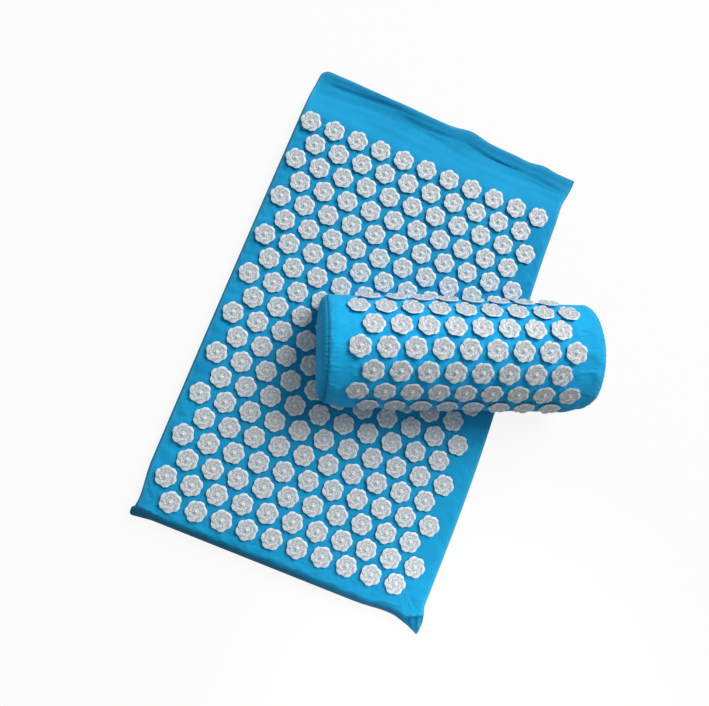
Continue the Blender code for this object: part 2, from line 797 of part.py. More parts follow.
def main():
    for thing in list(bpy.data.objects):
        bpy.data.objects.remove(thing, do_unlink=True)
    mat_foam()
    mat_back_cover()
    mat_front_cover()
    hinge = empty_at("closure_hinge", (*lie(0, CREASE), HEM_TOP), hem_turn())
    mat_front_hem(hinge)
    mat_tapes(hinge)
    loose_mat_discs()
    holder = empty_at("pillow_place", (PILLOW_X, PILLOW_Y, PILLOW_BASE), PILLOW_YAW)
    pillow_foam(holder)
    pillow_front_cover(holder)
    pillow_end("pillow_left_end", -1, holder)
    pillow_end("pillow_right_end", 1, holder)
    pillow_base(holder)
    loose_pillow_discs(holder)


main()
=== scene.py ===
# Acupressure mat with its neck pillow: cotton over foam, petal discs, tapes and stitches
import math

import bmesh
import bpy
import numpy as np
from mathutils import Matrix, Vector, noise


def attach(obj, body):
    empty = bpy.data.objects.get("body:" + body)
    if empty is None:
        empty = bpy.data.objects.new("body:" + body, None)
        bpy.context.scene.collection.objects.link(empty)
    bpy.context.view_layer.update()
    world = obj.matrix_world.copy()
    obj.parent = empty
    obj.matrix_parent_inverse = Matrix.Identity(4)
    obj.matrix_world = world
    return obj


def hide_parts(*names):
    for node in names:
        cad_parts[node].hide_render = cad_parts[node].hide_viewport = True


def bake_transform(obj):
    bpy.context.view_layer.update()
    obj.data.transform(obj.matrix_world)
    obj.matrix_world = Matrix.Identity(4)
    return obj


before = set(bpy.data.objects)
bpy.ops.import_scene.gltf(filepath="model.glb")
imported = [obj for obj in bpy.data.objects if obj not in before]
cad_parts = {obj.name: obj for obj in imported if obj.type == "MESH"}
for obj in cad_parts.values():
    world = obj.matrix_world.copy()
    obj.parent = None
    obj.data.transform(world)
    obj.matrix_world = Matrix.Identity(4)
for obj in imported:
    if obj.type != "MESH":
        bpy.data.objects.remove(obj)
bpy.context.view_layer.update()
scene = bpy.context.scene
print("frame loaded,", len(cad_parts), "nodes")

camera = {
    "place": (-0.09271, -0.14660, 0.96314),
    "right": (0.926714, 0.353053, 0.128663),
    "up": (-0.365008, 0.927116, 0.085004),
    "back": (-0.089275, -0.125737, 0.988038),
    "lens": 34.454,
    "sensor": 36.0,
    "shift": -0.00145,
    "near": 0.01,
    "far": 30.0,
}


def addCamera():
    data = bpy.data.cameras.new("camera")
    data.lens = camera["lens"]
    data.sensor_width = camera["sensor"]
    data.shift_x = camera["shift"]
    data.clip_start = camera["near"]
    data.clip_end = camera["far"]
    eye = bpy.data.objects.new("camera", data)
    scene.collection.objects.link(eye)
    axes = Matrix((camera["right"], camera["up"], camera["back"])).transposed()
    eye.matrix_world = Matrix.Translation(camera["place"]) @ axes.to_4x4()
    scene.camera = eye


addCamera()


# small helpers

def mix(first, last, share):
    return first + (last - first) * share


def smooth(share):
    share = np.clip(share, 0.0, 1.0)
    return share * share * (3 - 2 * share)


def bell(value, width):
    return np.exp(-(value / width) ** 2)


def deselect():
    if bpy.context.mode != "OBJECT":
        bpy.ops.object.mode_set(mode="OBJECT")
    bpy.ops.object.select_all(action="DESELECT")


def pick(piece):
    deselect()
    piece.select_set(True)
    bpy.context.view_layer.objects.active = piece


def softShade(piece, degrees):
    pick(piece)
    bpy.ops.object.shade_smooth_by_angle(angle=math.radians(degrees))


def readPoints(mesh):
    points = np.empty(len(mesh.vertices) * 3)
    mesh.vertices.foreach_get("co", points)
    return points.reshape(-1, 3)


def writePoints(mesh, points):
    mesh.vertices.foreach_set("co", np.asarray(points, float).ravel())
    mesh.update()


def stations(low, high, step, lowSteps=(0.0,), highSteps=(0.0,)):
    # even steps, with finer ones beside each rolled edge
    first, last = low + lowSteps[-1], high - highSteps[-1]
    middle = np.linspace(first, last, max(2, round((last - first) / step)) + 1)
    return np.concatenate([low + np.array(lowSteps[:-1]), middle, high - np.array(highSteps[:-1])[::-1]])


def softNoise(points, scale, seed):
    return np.array([noise.noise(Vector(point) * scale + Vector((seed, seed, 0))) for point in points])


def meshPiece(name, points, faces, weave):
    mesh = bpy.data.meshes.new(name)
    mesh.from_pydata(np.asarray(points).tolist(), [], faces)
    corners = np.empty(len(mesh.loops), int)
    mesh.loops.foreach_get("vertex_index", corners)
    layer = mesh.uv_layers.new(name="weaveMap")
    layer.data.foreach_set("uv", np.asarray(weave)[corners].ravel())
    piece = bpy.data.objects.new(name, mesh)
    scene.collection.objects.link(piece)
    return piece


def clothPiece(name, points, weave, flip=False):
    # a sheet of quads from rows of points, with the flat cut as its map for the weave
    rows, columns = points.shape[:2]
    number = np.arange(rows * columns).reshape(rows, columns)
    faces = np.stack([number[:-1, :-1], number[:-1, 1:], number[1:, 1:], number[1:, :-1]], -1)
    faces = faces.reshape(-1, 4)
    if flip:
        faces = faces[:, ::-1]
    return meshPiece(name, points.reshape(-1, 3), faces.tolist(), weave.reshape(-1, 2))


def ringFaces(rings, count):
    # quads between rings of points, each ring closed on itself
    faces = []
    for start in range(0, (rings - 1) * count, count):
        for step in range(count):
            first, second = start + step, start + (step + 1) % count
            faces.append([first, second, second + count, first + count])
    return faces


swelling = {
    "frames": 20,
    "cloth": {
        "quality": 4, "mass": 0.15, "air_damping": 8, "tension_stiffness": 12, "compression_stiffness": 12,
        "shear_stiffness": 6, "bending_stiffness": 0.4, "use_pressure": True, "uniform_pressure_force": 3.0,
    },
}


def puff(piece, pinned, slack, cap):
    # cloth held at its pins swells between them, and no point moves further than cap
    start = readPoints(piece.data)
    group = piece.vertex_groups.new(name="pins")
    group.add(np.flatnonzero(pinned).tolist(), 1.0, "REPLACE")
    cloth = piece.modifiers.new("cloth", "CLOTH")
    for name, value in swelling["cloth"].items():
        setattr(cloth.settings, name, value)
    cloth.settings.vertex_group_mass = "pins"
    cloth.settings.shrink_min = -slack
    cloth.settings.effector_weights.gravity = 0
    cloth.collision_settings.use_collision = False
    cloth.point_cache.frame_start = 1
    cloth.point_cache.frame_end = swelling["frames"]
    for step in range(swelling["frames"]):
        scene.frame_set(step + 1)
    pick(piece)
    bpy.ops.object.modifier_apply(modifier=cloth.name)
    scene.frame_set(1)
    shift = readPoints(piece.data) - start
    size = np.linalg.norm(shift, axis=1)
    shift *= (np.minimum(size, cap) / np.maximum(size, 1e-9))[:, None]
    writePoints(piece.data, start + shift)
    piece.vertex_groups.clear()
    print(piece.name, "puffed by up to", round(float(size.max()) * 1000, 1), "mm")


def valuesOn(piece, name, values):
    attribute = piece.data.attributes.new(name, "FLOAT", "POINT")
    attribute.data.foreach_set("value", np.asarray(values, np.float32))


def dress(piece, material, degrees):
    softShade(piece, degrees)
    piece.data.materials.clear()
    piece.data.materials.append(material)


def sewCloth(piece, material, rub, paintedShade=None, degrees=60):
    # worn edges and painted shade along rolls and seams, the cloth's thickness and its finish
    valuesOn(piece, "rub", rub)
    if paintedShade is not None:
        valuesOn(piece, "paintedShade", paintedShade)
    pick(piece)
    wall = piece.modifiers.new("wall", "SOLIDIFY")
    wall.thickness = clothThickness
    wall.offset = -1.0
    wall.use_even_offset = False
    bpy.ops.object.modifier_apply(modifier=wall.name)
    dress(piece, material, degrees)


# finishes

def startFinish(name, roughness):
    material = bpy.data.materials.new(name)
    material.use_nodes = True
    tree = material.node_tree
    shader = tree.nodes["Principled BSDF"]
    shader.inputs["Roughness"].default_value = roughness
    return material, tree, shader


def plug(tree, value, socket):
    if isinstance(value, bpy.types.NodeSocket):
        tree.links.new(value, socket)
    else:
        socket.default_value = value


def mathNode(tree, kind, *values):
    node = tree.nodes.new("ShaderNodeMath")
    node.operation = kind
    for socket, value in zip(node.inputs, values):
        plug(tree, value, socket)
    return node.outputs[0]


def scaled(tree, value, gain, rest):
    return mathNode(tree, "MULTIPLY_ADD", value, gain, rest)


def colourMix(tree, share, first, colour, blend):
    node = tree.nodes.new("ShaderNodeMix")
    node.data_type = "RGBA"
    node.blend_type = blend
    plug(tree, share, node.inputs["Factor"])
    plug(tree, first, node.inputs["A"])
    node.inputs["B"].default_value = (*colour, 1.0)
    return node.outputs["Result"]


def colourRamp(tree, factor, stops):
    node = tree.nodes.new("ShaderNodeValToRGB")
    ramp = node.color_ramp
    while len(ramp.elements) < len(stops):
        ramp.elements.new(0.5)
    for element, (place, colour) in zip(ramp.elements, stops):
        element.position = place
        element.color = (*colour, 1.0)
    plug(tree, factor, node.inputs["Fac"])
    return node.outputs["Color"]


def objectPlace(tree):
    return tree.nodes.new("ShaderNodeTexCoord").outputs["Object"]


def mapPlace(tree, name):
    node = tree.nodes.new("ShaderNodeUVMap")
    node.uv_map = name
    return node.outputs["UV"]


def pointValue(tree, name):
    node = tree.nodes.new("ShaderNodeAttribute")
    node.attribute_name = name
    return node.outputs["Fac"]


def texture(tree, kind, place, scale, output="Fac", **settings):
    node = tree.nodes.new(kind)
    node.inputs["Scale"].default_value = scale
    for name, value in settings.items():
        setattr(node, name, value)
    tree.links.new(place, node.inputs["Vector"])
    return node.outputs[output]


def noiseNode(tree, place, scale, detail):
    value = texture(tree, "ShaderNodeTexNoise", place, scale)
    value.node.inputs["Detail"].default_value = detail
    return value


def bandNode(tree, place, direction, pitch):
    scale = math.tau / 20 / pitch  # the node runs 20 radians for each unit
    return texture(tree, "ShaderNodeTexWave", place, scale, wave_type="BANDS", bands_direction=direction)


def stepNode(tree, value, start, end):
    # a soft step from 0 at start to 1 at end
    node = tree.nodes.new("ShaderNodeMapRange")
    node.interpolation_type = "SMOOTHSTEP"
    for name, setting in (("From Min", start), ("From Max", end), ("Value", value)):
        plug(tree, setting, node.inputs[name])
    return node.outputs["Result"]


def bumpNode(tree, height, strength, distance, shader):
    node = tree.nodes.new("ShaderNodeBump")
    node.inputs["Strength"].default_value = strength
    node.inputs["Distance"].default_value = distance
    tree.links.new(height, node.inputs["Height"])
    tree.links.new(node.outputs["Normal"], shader.inputs["Normal"])


cotton = {
    "deep": (0.0040, 0.275, 0.545),
    "main": (0.0060, 0.340, 0.650),
    "pale": (0.0110, 0.400, 0.730),
    "worn": (0.050, 0.430, 0.720),
    "edgeShade": (0.50, 0.58, 0.60),  # what the cloth keeps of its colour where shade is painted on it
    "stops": (0.30, 0.52, 0.74),  # where deep, main and pale lie on the ramp
    "thread": 0.0009,  # pitch of the weave
    "clouds": 14.0,  # scale of the broad shades, and of the slubs in the yarn
    "slubs": 420.0,
    "cloudGain": 0.55, "slubGain": 0.30, "weaveGain": 0.15,
    "matGain": 0.955, "pillowLitGain": 1.26,  # the pillow's copy is painted paler, as painted light for the stronger light it catches
    "roughness": 0.74, "slubRoughness": 0.16,
    "sheen": 0.06, "sheenRoughness": 0.5, "shine": 0.16,
    "slubHeight": 0.6, "bump": 0.35, "bumpHeight": 0.00022,
}


def cottonFinish(name, gain):
    tones = [tuple(part * gain for part in cotton[tone]) for tone in ("deep", "main", "pale")]
    material, tree, shader = startFinish(name, cotton["roughness"])
    shader.inputs["Sheen Weight"].default_value = cotton["sheen"]
    shader.inputs["Sheen Roughness"].default_value = cotton["sheenRoughness"]
    shader.inputs["Specular IOR Level"].default_value = cotton["shine"]
    weave = mapPlace(tree, "weaveMap")
    cross = tree.nodes.new("ShaderNodeMix")  # the checker says which thread lies on top
    plug(tree, texture(tree, "ShaderNodeTexChecker", weave, 1 / cotton["thread"]), cross.inputs["Factor"])
    plug(tree, bandNode(tree, weave, "X", cotton["thread"]), cross.inputs["A"])
    plug(tree, bandNode(tree, weave, "Y", cotton["thread"]), cross.inputs["B"])
    threads = cross.outputs["Result"]
    place = objectPlace(tree)
    slubs = noiseNode(tree, place, cotton["slubs"], detail=2.0)
    shade = scaled(tree, noiseNode(tree, place, cotton["clouds"], detail=3.0), cotton["cloudGain"], 0.0)
    shade = scaled(tree, slubs, cotton["slubGain"], shade)
    shade = scaled(tree, threads, cotton["weaveGain"], shade)
    colour = colourRamp(tree, shade, list(zip(cotton["stops"], tones)))
    paleShare = mathNode(tree, "MULTIPLY", pointValue(tree, "rub"), slubs)
    colour = colourMix(tree, paleShare, colour, cotton["worn"], "MIX")
    # painted shade: the colour is darkened where the paintedShade value is high
    colour = colourMix(tree, pointValue(tree, "paintedShade"), colour, cotton["edgeShade"], "MULTIPLY")
    plug(tree, colour, shader.inputs["Base Color"])
    rough = scaled(tree, slubs, cotton["slubRoughness"], cotton["roughness"])
    plug(tree, rough, shader.inputs["Roughness"])
    height = scaled(tree, slubs, cotton["slubHeight"], threads)
    bumpNode(tree, height, cotton["bump"], cotton["bumpHeight"], shader)
    return material


plastic = {
    # painted light: hollowShade is painted shade, rim is a painted highlight, and all three are a
    # blue-tinted white, a painted reflection of the blue cloth
    "hollowShade": (0.40, 0.440, 0.465),
    "main": (0.59, 0.650, 0.690),
    "rim": (0.84, 0.905, 0.945),
    "stops": (0.10, 0.42, 0.80),  # where hollowShade, main and rim lie on the ramp
    "grain": 900.0, "grainGain": 0.22, "grainHeight": 0.15,
    "roughness": 0.26, "grainRoughness": 0.20, "coat": 0.12, "coatRoughness": 0.3,
    "rings": 3.2,  # rings of petals from the tip to the rim
    "lean": 0.42,  # share of a petal that a ring leans by
    "fold": (0.0, 0.16), "edgeShade": (0.0, 0.85), "lip": (0.66, 0.92),  # soft steps over one petal or ring, for the relief and for the painted shade in the veins and at each ring's inner edge, and the painted highlight on the lips
    "edge": (0.92, 0.965), "tip": (0.17, 0.06),  # and over the whole disc, for the painted highlights on the rim and the tip
    # weights of the painted highlight on the lips, the painted shade in the creases, and the painted
    # highlights on the rim and tip
    "lipHighlightGain": 0.14, "creaseShadeGain": 0.38, "paintedGlintGain": 0.42,
    "bump": 0.8, "bumpHeight": 0.0008,
}


def plasticFinish(name):
    # moulded discs: rim and tips painted paler as highlights, with petal veins that wind round the middle,
    # painted darker as shade
    material, tree, shader = startFinish(name, plastic["roughness"])
    shader.inputs["Coat Weight"].default_value = plastic["coat"]
    shader.inputs["Coat Roughness"].default_value = plastic["coatRoughness"]
    split = tree.nodes.new("ShaderNodeSeparateXYZ")
    plug(tree, mapPlace(tree, "petalMap"), split.inputs[0])
    outward, around = split.outputs["X"], split.outputs["Y"]
    grain = noiseNode(tree, objectPlace(tree), plastic["grain"], detail=2.0)
    # rings of petals round the tip: each ring half a petal on from the last, with its petals leaning
    ring = mathNode(tree, "MULTIPLY", outward, plastic["rings"])
    inRing = mathNode(tree, "FRACT", ring)
    turned = scaled(tree, inRing, plastic["lean"], around)
    turned = scaled(tree, mathNode(tree, "FLOOR", ring), 0.5, turned)
    share = mathNode(tree, "FRACT", turned)
    petal = stepNode(tree, mathNode(tree, "PINGPONG", share, 0.5), *plastic["fold"])
    # the veins between petals and each ring's inner edge, where it tucks under the next: low in the relief
    # and painted dark as shade
    fold = mathNode(tree, "MULTIPLY", petal, stepNode(tree, inRing, *plastic["edgeShade"]))
    # a painted highlight on the outer lip of each ring's petals
    lip = mathNode(tree, "MULTIPLY", stepNode(tree, inRing, *plastic["lip"]), petal)
    # the rim and the tip, painted pale as highlights
    paleShare = mathNode(tree, "MAXIMUM", stepNode(tree, outward, *plastic["edge"]),
                      stepNode(tree, outward, *plastic["tip"]))
    crisp = mathNode(tree, "MAXIMUM", paleShare, fold)
    tone = scaled(tree, lip, plastic["lipHighlightGain"], mathNode(tree, "MULTIPLY", crisp, plastic["creaseShadeGain"]))
    tone = scaled(tree, grain, plastic["grainGain"], tone)
    tone = scaled(tree, paleShare, plastic["paintedGlintGain"], tone)
    colours = [plastic[tone] for tone in ("hollowShade", "main", "rim")]
    plug(tree, colourRamp(tree, tone, list(zip(plastic["stops"], colours))), shader.inputs["Base Color"])
    rough = scaled(tree, grain, plastic["grainRoughness"], plastic["roughness"])
    plug(tree, rough, shader.inputs["Roughness"])
    height = scaled(tree, grain, plastic["grainHeight"], crisp)
    bumpNode(tree, height, plastic["bump"], plastic["bumpHeight"], shader)
    return material


def plainFinish(name, values, makeHeight):
    # one texture that gives both the colour and the relief; the colour is darker where the relief is low,
    # painted shade in the pits, grooves and gaps
    material, tree, shader = startFinish(name, values["roughness"])
    height = makeHeight(tree, objectPlace(tree))
    plug(tree, colourRamp(tree, height, values["stops"]), shader.inputs["Base Color"])
    bumpNode(tree, height, values["bump"], values["bumpHeight"], shader)
    return material


cells = {
    "scale": 700.0, "roughness": 0.95, "bump": 0.8, "bumpHeight": 0.0006,
    "stops": ((0.0, (0.62, 0.57, 0.44)), (0.45, (0.86, 0.83, 0.74)), (1.0, (0.90, 0.87, 0.79))),
}
pile = {
    "hooks": (0.0014, 0.0011),  # pitch across and along
    "loops": 1100.0, "roughness": 0.9, "bump": 0.9, "bumpHeight": 0.0006,
    "stops": ((0.2, (0.010, 0.14, 0.30)), (0.5, (0.020, 0.24, 0.45)), (0.9, (0.05, 0.33, 0.56))),
}
yarn = {
    "pitch": 0.0004, "roughness": 0.6, "bump": 0.5, "bumpHeight": 0.0001,
    "stops": ((0.0, (0.006, 0.17, 0.36)), (1.0, (0.02, 0.30, 0.56))),
}


def foamCells(tree, place):
    return texture(tree, "ShaderNodeTexVoronoi", place, cells["scale"], "Distance")


def hookPile(tree, place):
    across, along = pile["hooks"]
    return mathNode(tree, "MULTIPLY", bandNode(tree, place, "X", across), bandNode(tree, place, "Y", along))


def loopPile(tree, place):
    return noiseNode(tree, place, pile["loops"], detail=4.0)


def twistedYarn(tree, place):
    return bandNode(tree, place, "DIAGONAL", yarn["pitch"])


cottonBlue = cottonFinish("blueCotton", cotton["matGain"])
# the same cotton, in a copy painted paler as painted light
litPillowBlue = cottonFinish("litPillowCotton", cotton["pillowLitGain"])
discWhite = plasticFinish("whiteDiscs")
foamPale = plainFinish("paleFoam", cells, foamCells)
hookTape = plainFinish("hookTape", pile, hookPile)
loopTape = plainFinish("loopTape", pile, loopPile)
threadBlue = plainFinish("blueThread", yarn, twistedYarn)
print("finishes made")


# the mat's cloth

clothThickness = 0.001

mat = {
    "width": 0.420, "length": 0.688, "top": 0.0206, "hemTop": 0.0049,
    "hem": 0.022, "slope": 0.054,
    "roll": 0.007, "footRoll": 0.0118, "footUnder": 0.004, "hemRoll": 0.0016,
    "footBend": 0.2,  # share of the foot roll that is its rounded shoulder
    "footSeam": 0.0040, "footSeamStart": 0.004, "footSeamFade": 0.020,
    "hemSeam": 0.0012,  # how far the seam lies under the hem's top
    "seamGaps": (0.0002, 0.0006),  # between the covers, on the mat and at the hem
    "footRidge": 0.0009, "footRidgeWidth": 0.007, "earRamp": 0.55, "earRampWidth": 0.026,
    "headReach": 0.0035, "roundCorner": 0.013,
    # bumps of the head edge: place across, height, width
    "bumps": (
        (0.038, 0.0055, 0.022), (0.163, 0.0030, 0.014), (0.135, -0.0010, 0.012), (-0.07, 0.0006, 0.02)),
    "footLean": 0.014, "headLean": 0.008, "leftLean": 0.011, "leftBow": 0.0014,
    "sideWave": 0.0045, "sideCrest": -0.120,
    # corners: side, end, pull across and along, flat part, reach, power of the pull along
    "ears": (
        (-1, -1, -0.0010, -0.0036, 0.006, 0.030, 1.0),
        (1, -1, 0.0075, -0.0125, 0.010, 0.034, 1.3),
        (1, 1, 0.0060, 0.0010, 0.004, 0.050, 1.0),
        (-1, 1, 0.0024, -0.0012, 0.004, 0.050, 1.0),
    ),
    # the left edge is nipped in above its ear: how far, its start and end with their fades, and its reach
    "nip": 0.0046, "nipStart": (0.075, 0.055), "nipEnd": (0.0095, 0.0050), "nipReach": 0.030,
    "earRound": 0.0055,
    "footNip": 0.0030, "footNipPlace": 0.165, "footNipWidth": 0.028, "footNipReach": 0.05,
    "grid": 0.0040, "backGrid": 0.0080,
    "cornerGrid": 0.0012, "cornerSteps": 23,  # finer where the corners are gathered
    "headSteps": 44, "backHeadSteps": 17, "headEdgeSteps": (0.0012, 0.0004, 0.0),
    "rowTop": 0.2605, "rowPitch": 0.0297, "rows": 20,
    "columnLeft": -0.186, "discPitch": 0.036, "longRow": 11,
    "pinned": 0.004, "discFoot": 0.0098,  # cloth held at the edges and under each disc
    "slack": 0.012, "swell": 0.0013,
    "dents": 0.0004, "dentScale": 16.0, "dentSeed": 3.1,
    "backDents": 0.0007, "backDentScale": 22.0, "backDentSeed": 7.7,
    "wear": 0.9, "wearPlace": 0.003,
    "bend": 0.004,  # cloth on each side of the crease that bends with the hem
}
# gathers that run out to the left ear
gathered = {
    "height": 0.0022, "start": 0.010, "reach": 0.022, "count": 3.5, "turn": 2.1, "curl": 0.03, "level": 0.6,
}
# the right ear hangs past a crease: its tip, the crease's height over it, its left end and fade, low levels
rightEar = {
    "tip": (0.2139, -0.3595), "crease": 0.0285, "fall": 0.0060, "start": -0.024, "fade": 0.008,
    "low": (0.0045, 0.0125), "fold": 0.0021, "foldPitch": 0.0095, "foldPlace": -0.0085,
    "narrow": 0.55, "narrowReach": 0.016, "foldLead": 0.004, "foldFade": 0.008, "tipFade": 0.004,
}
# painted shade: the cloth's colour is darkened where it rolls down at the foot and sides, past the right
# ear's crease and over the hem
paintedShades = {
    "foot": 2.2, "side": 0.8, "sideWidth": 0.0016,
    "ear": (0.35, 0.95), "earLow": 0.0065, "earFade": 0.006,
    "hem": 0.30, "hemStart": 0.016, "hemFade": 0.008, "hemEdge": 0.7, "hemEdgeWidth": 0.0012,
}
halfWidth = mat["width"] / 2
headEdge = mat["length"] / 2
footEdge = -headEdge
crease = headEdge - mat["hem"]
slopeStart = crease - mat["slope"]
edgeSteps = [0.0, 0.0003, 0.0009, 0.0018, 0.0030, 0.0044, 0.0060, 0.0080]
footSteps = [0.0, 0.0003, 0.0009, 0.0020, 0.0035, 0.0053, 0.0074, 0.0098, 0.0128]
cornerSteps = [mat["cornerGrid"] * step for step in range(1, mat["cornerSteps"] + 1)]


def lieOut(x, y):
    # how the cover lies a little out of square
    across = x / mat["width"]
    along = (y - footEdge) / mat["length"]
    lean = mix(mat["footLean"], mat["headLean"], along)
    swing = mat["sideWave"] * np.cos(math.tau * (y - mat["sideCrest"]) / mat["length"])
    pull = mat["leftLean"] * (along - 0.5) * (0.5 - across) + swing * (0.5 + across)
    pull = pull + mat["leftBow"] * (2 * along - 1) ** 2 * (0.5 - across)
    return x + pull, y - lean * across


def fallOf(y):
    return smooth((y - slopeStart) / mat["slope"])


def pullEars(x, y, X, Y):
    # corners are pulled out to soft points
    for side, end, across, along, flat, reach, power in mat["ears"]:
        gap = np.hypot(x - side * halfWidth, y - end * headEdge)
        X = X + across * smooth((reach - gap) / (reach - flat))
        Y = Y + along * np.clip(1 - gap / reach, 0, 1) ** power
    return X, Y


def leftEdgeIn(x, y):
    # the left edge is nipped in just above the ear at the foot
    gap = y - footEdge
    share = np.clip(1 - (x + halfWidth) / mat["nipReach"], 0, 1)
    starts = smooth((mat["nipStart"][0] - gap) / mat["nipStart"][1])
    ends = smooth((gap - mat["nipEnd"][0]) / mat["nipEnd"][1])
    return x + mat["nip"] * share * starts * ends


def roundOff(across, along, corner):
    # takes the point off a corner; across and along are the distances from its edges
    u = np.clip(1 - across / corner, 0, 1)
    v = np.clip(1 - along / corner, 0, 1)
    return corner * (u - u * np.sqrt(1 - v * v / 2)), corner * (v - v * np.sqrt(1 - u * u / 2))


def footEdgeOut(x, y):
    # the foot edge is drawn in beside the right ear, and both ears are blunt
    gap = y - footEdge
    left = roundOff(halfWidth + x, gap, mat["earRound"])
    right = roundOff(halfWidth - x, gap, mat["earRound"])
    pull = mat["footNip"] * bell(x - mat["footNipPlace"], mat["footNipWidth"])
    pull = pull * np.clip(1 - gap / mat["footNipReach"], 0, 1)
    return x + left[0] - right[0], y + left[1] + right[1] + pull


def earDrop(X, Y):
    # how far past the right ear's crease a point lies, its low level there, and the folds that hang from it
    ear = rightEar
    along = camera["up"]
    level = math.hypot(along[0], along[1])
    up = ((X - ear["tip"][0]) * along[0] + (Y - ear["tip"][1]) * along[1]) / level
    right = ((X - ear["tip"][0]) * along[1] - (Y - ear["tip"][1]) * along[0]) / level
    inside = smooth((right - ear["start"]) / ear["fade"])
    drop = smooth((ear["crease"] - up) / ear["fall"]) * inside
    low = mix(ear["low"][0], ear["low"][1], np.clip(up / ear["crease"], 0, 1))
    narrow = mix(ear["narrow"], 1.0, np.clip(up / ear["narrowReach"], 0, 1))
    wave = np.cos(math.tau * (right / narrow - ear["foldPlace"]) / ear["foldPitch"])
    depth = inside * smooth((ear["crease"] + ear["foldLead"] - up) / ear["foldFade"])
    return drop, low, ear["fold"] * wave * depth * smooth(up / ear["tipFade"])


def footRise(x, y):
    # a straight ramp with a rounded shoulder, longer beside the left ear
    longer = 1 + mat["earRamp"] * bell(x + halfWidth, mat["earRampWidth"])
    share = np.clip((y - footEdge) / mat["footRoll"] / longer, 0, 1)
    bend = mat["footBend"]
    slope = 1 / (1 - bend / 2)
    return np.where(share < 1 - bend, slope * share, 1 - slope * (1 - share) ** 2 / (2 * bend))


def headEdgeOut(x, y):
    # the head edge is uneven, and its left corner is round
    share = np.clip((y - crease) / mat["hem"], 0, 1)
    for place, height, width in mat["bumps"]:
        y = y + share * height * bell(x - place, width)
    y = y + share * mat["headReach"]
    edge = headEdge + mat["headReach"]
    across, along = roundOff(x + halfWidth, edge - y, mat["roundCorner"])
    return x + across, y - along


def outline(x, y):
    # where a point of the flat rectangle lies in the worn outline
    return lieOut(*headEdgeOut(*footEdgeOut(leftEdgeIn(x, y), y)))


def sideShare(x, roll):
    side = np.clip((halfWidth - np.abs(x)) / roll, 0, 1)
    return np.sqrt(1 - (1 - side) ** 2)


hem = {
    # stretches of the hem: where each starts and how softly, and where it ends and how softly
    "stretches": {
        "first": (-0.205, 0.03, -0.035, 0.04),
        "left": (-0.095, 0.04, 0.035, 0.05),
        "right": (0.030, 0.02, 0.150, 0.03),
        "corner": (0.140, 0.02, 0.205, 0.02),
    },
    # the line where the roll rises, past the crease, and how it leans and sways
    "line": 0.0075, "lean": 0.016, "leanStart": 0.02, "leanFade": 0.05, "leanEnd": 0.2,
    "sway": 0.0012, "swayLength": 0.019,
    "firstLine": (0.0052, 0.0118), "firstStart": -0.180, "firstLength": 0.105, "firstRise": 0.0050,
    "roll": 0.0021, "rollLow": 0.35, "rise": (0.0055, 0.0022), "riseLength": 0.10,
    # grooves: stretch, depth, place past the line, width
    "grooves": (
        ("left", 0.0009, -0.0015, 0.0022), ("right", 0.0010, -0.0010, 0.0011),
        ("corner", 0.0008, -0.0085, 0.0012),
        ("first", 0.0014, 0.0, 0.0024), ("first", 0.0005, 0.0068, 0.0012)),
    "winding": {"depth": 0.0008, "place": 0.0095, "swing": 0.004, "length": 0.05, "width": 0.0026},
    "broad": {"height": 0.0010, "across": 0.031, "along": 0.009, "place": 0.016, "width": 0.012},
    "ripple": {
        "height": 0.0007, "along": 0.0032, "swing": 2.5, "across": 0.045, "place": 0.012, "width": 0.010},
    "pucker": {"height": 0.00035, "fade": 0.005, "pitch": 0.00115, "swing": 2.0, "swingLength": 0.013},
    "lift": {"height": 0.0030, "reach": 0.015, "low": 0.4},
    "swell": {"height": 0.0006, "place": 0.022, "length": 0.028, "width": 0.022},
    "edgeFade": 0.0025, "endPower": 6,
    "shoulder": 0.2,  # share of the rolled edge that the folds leave plain
}


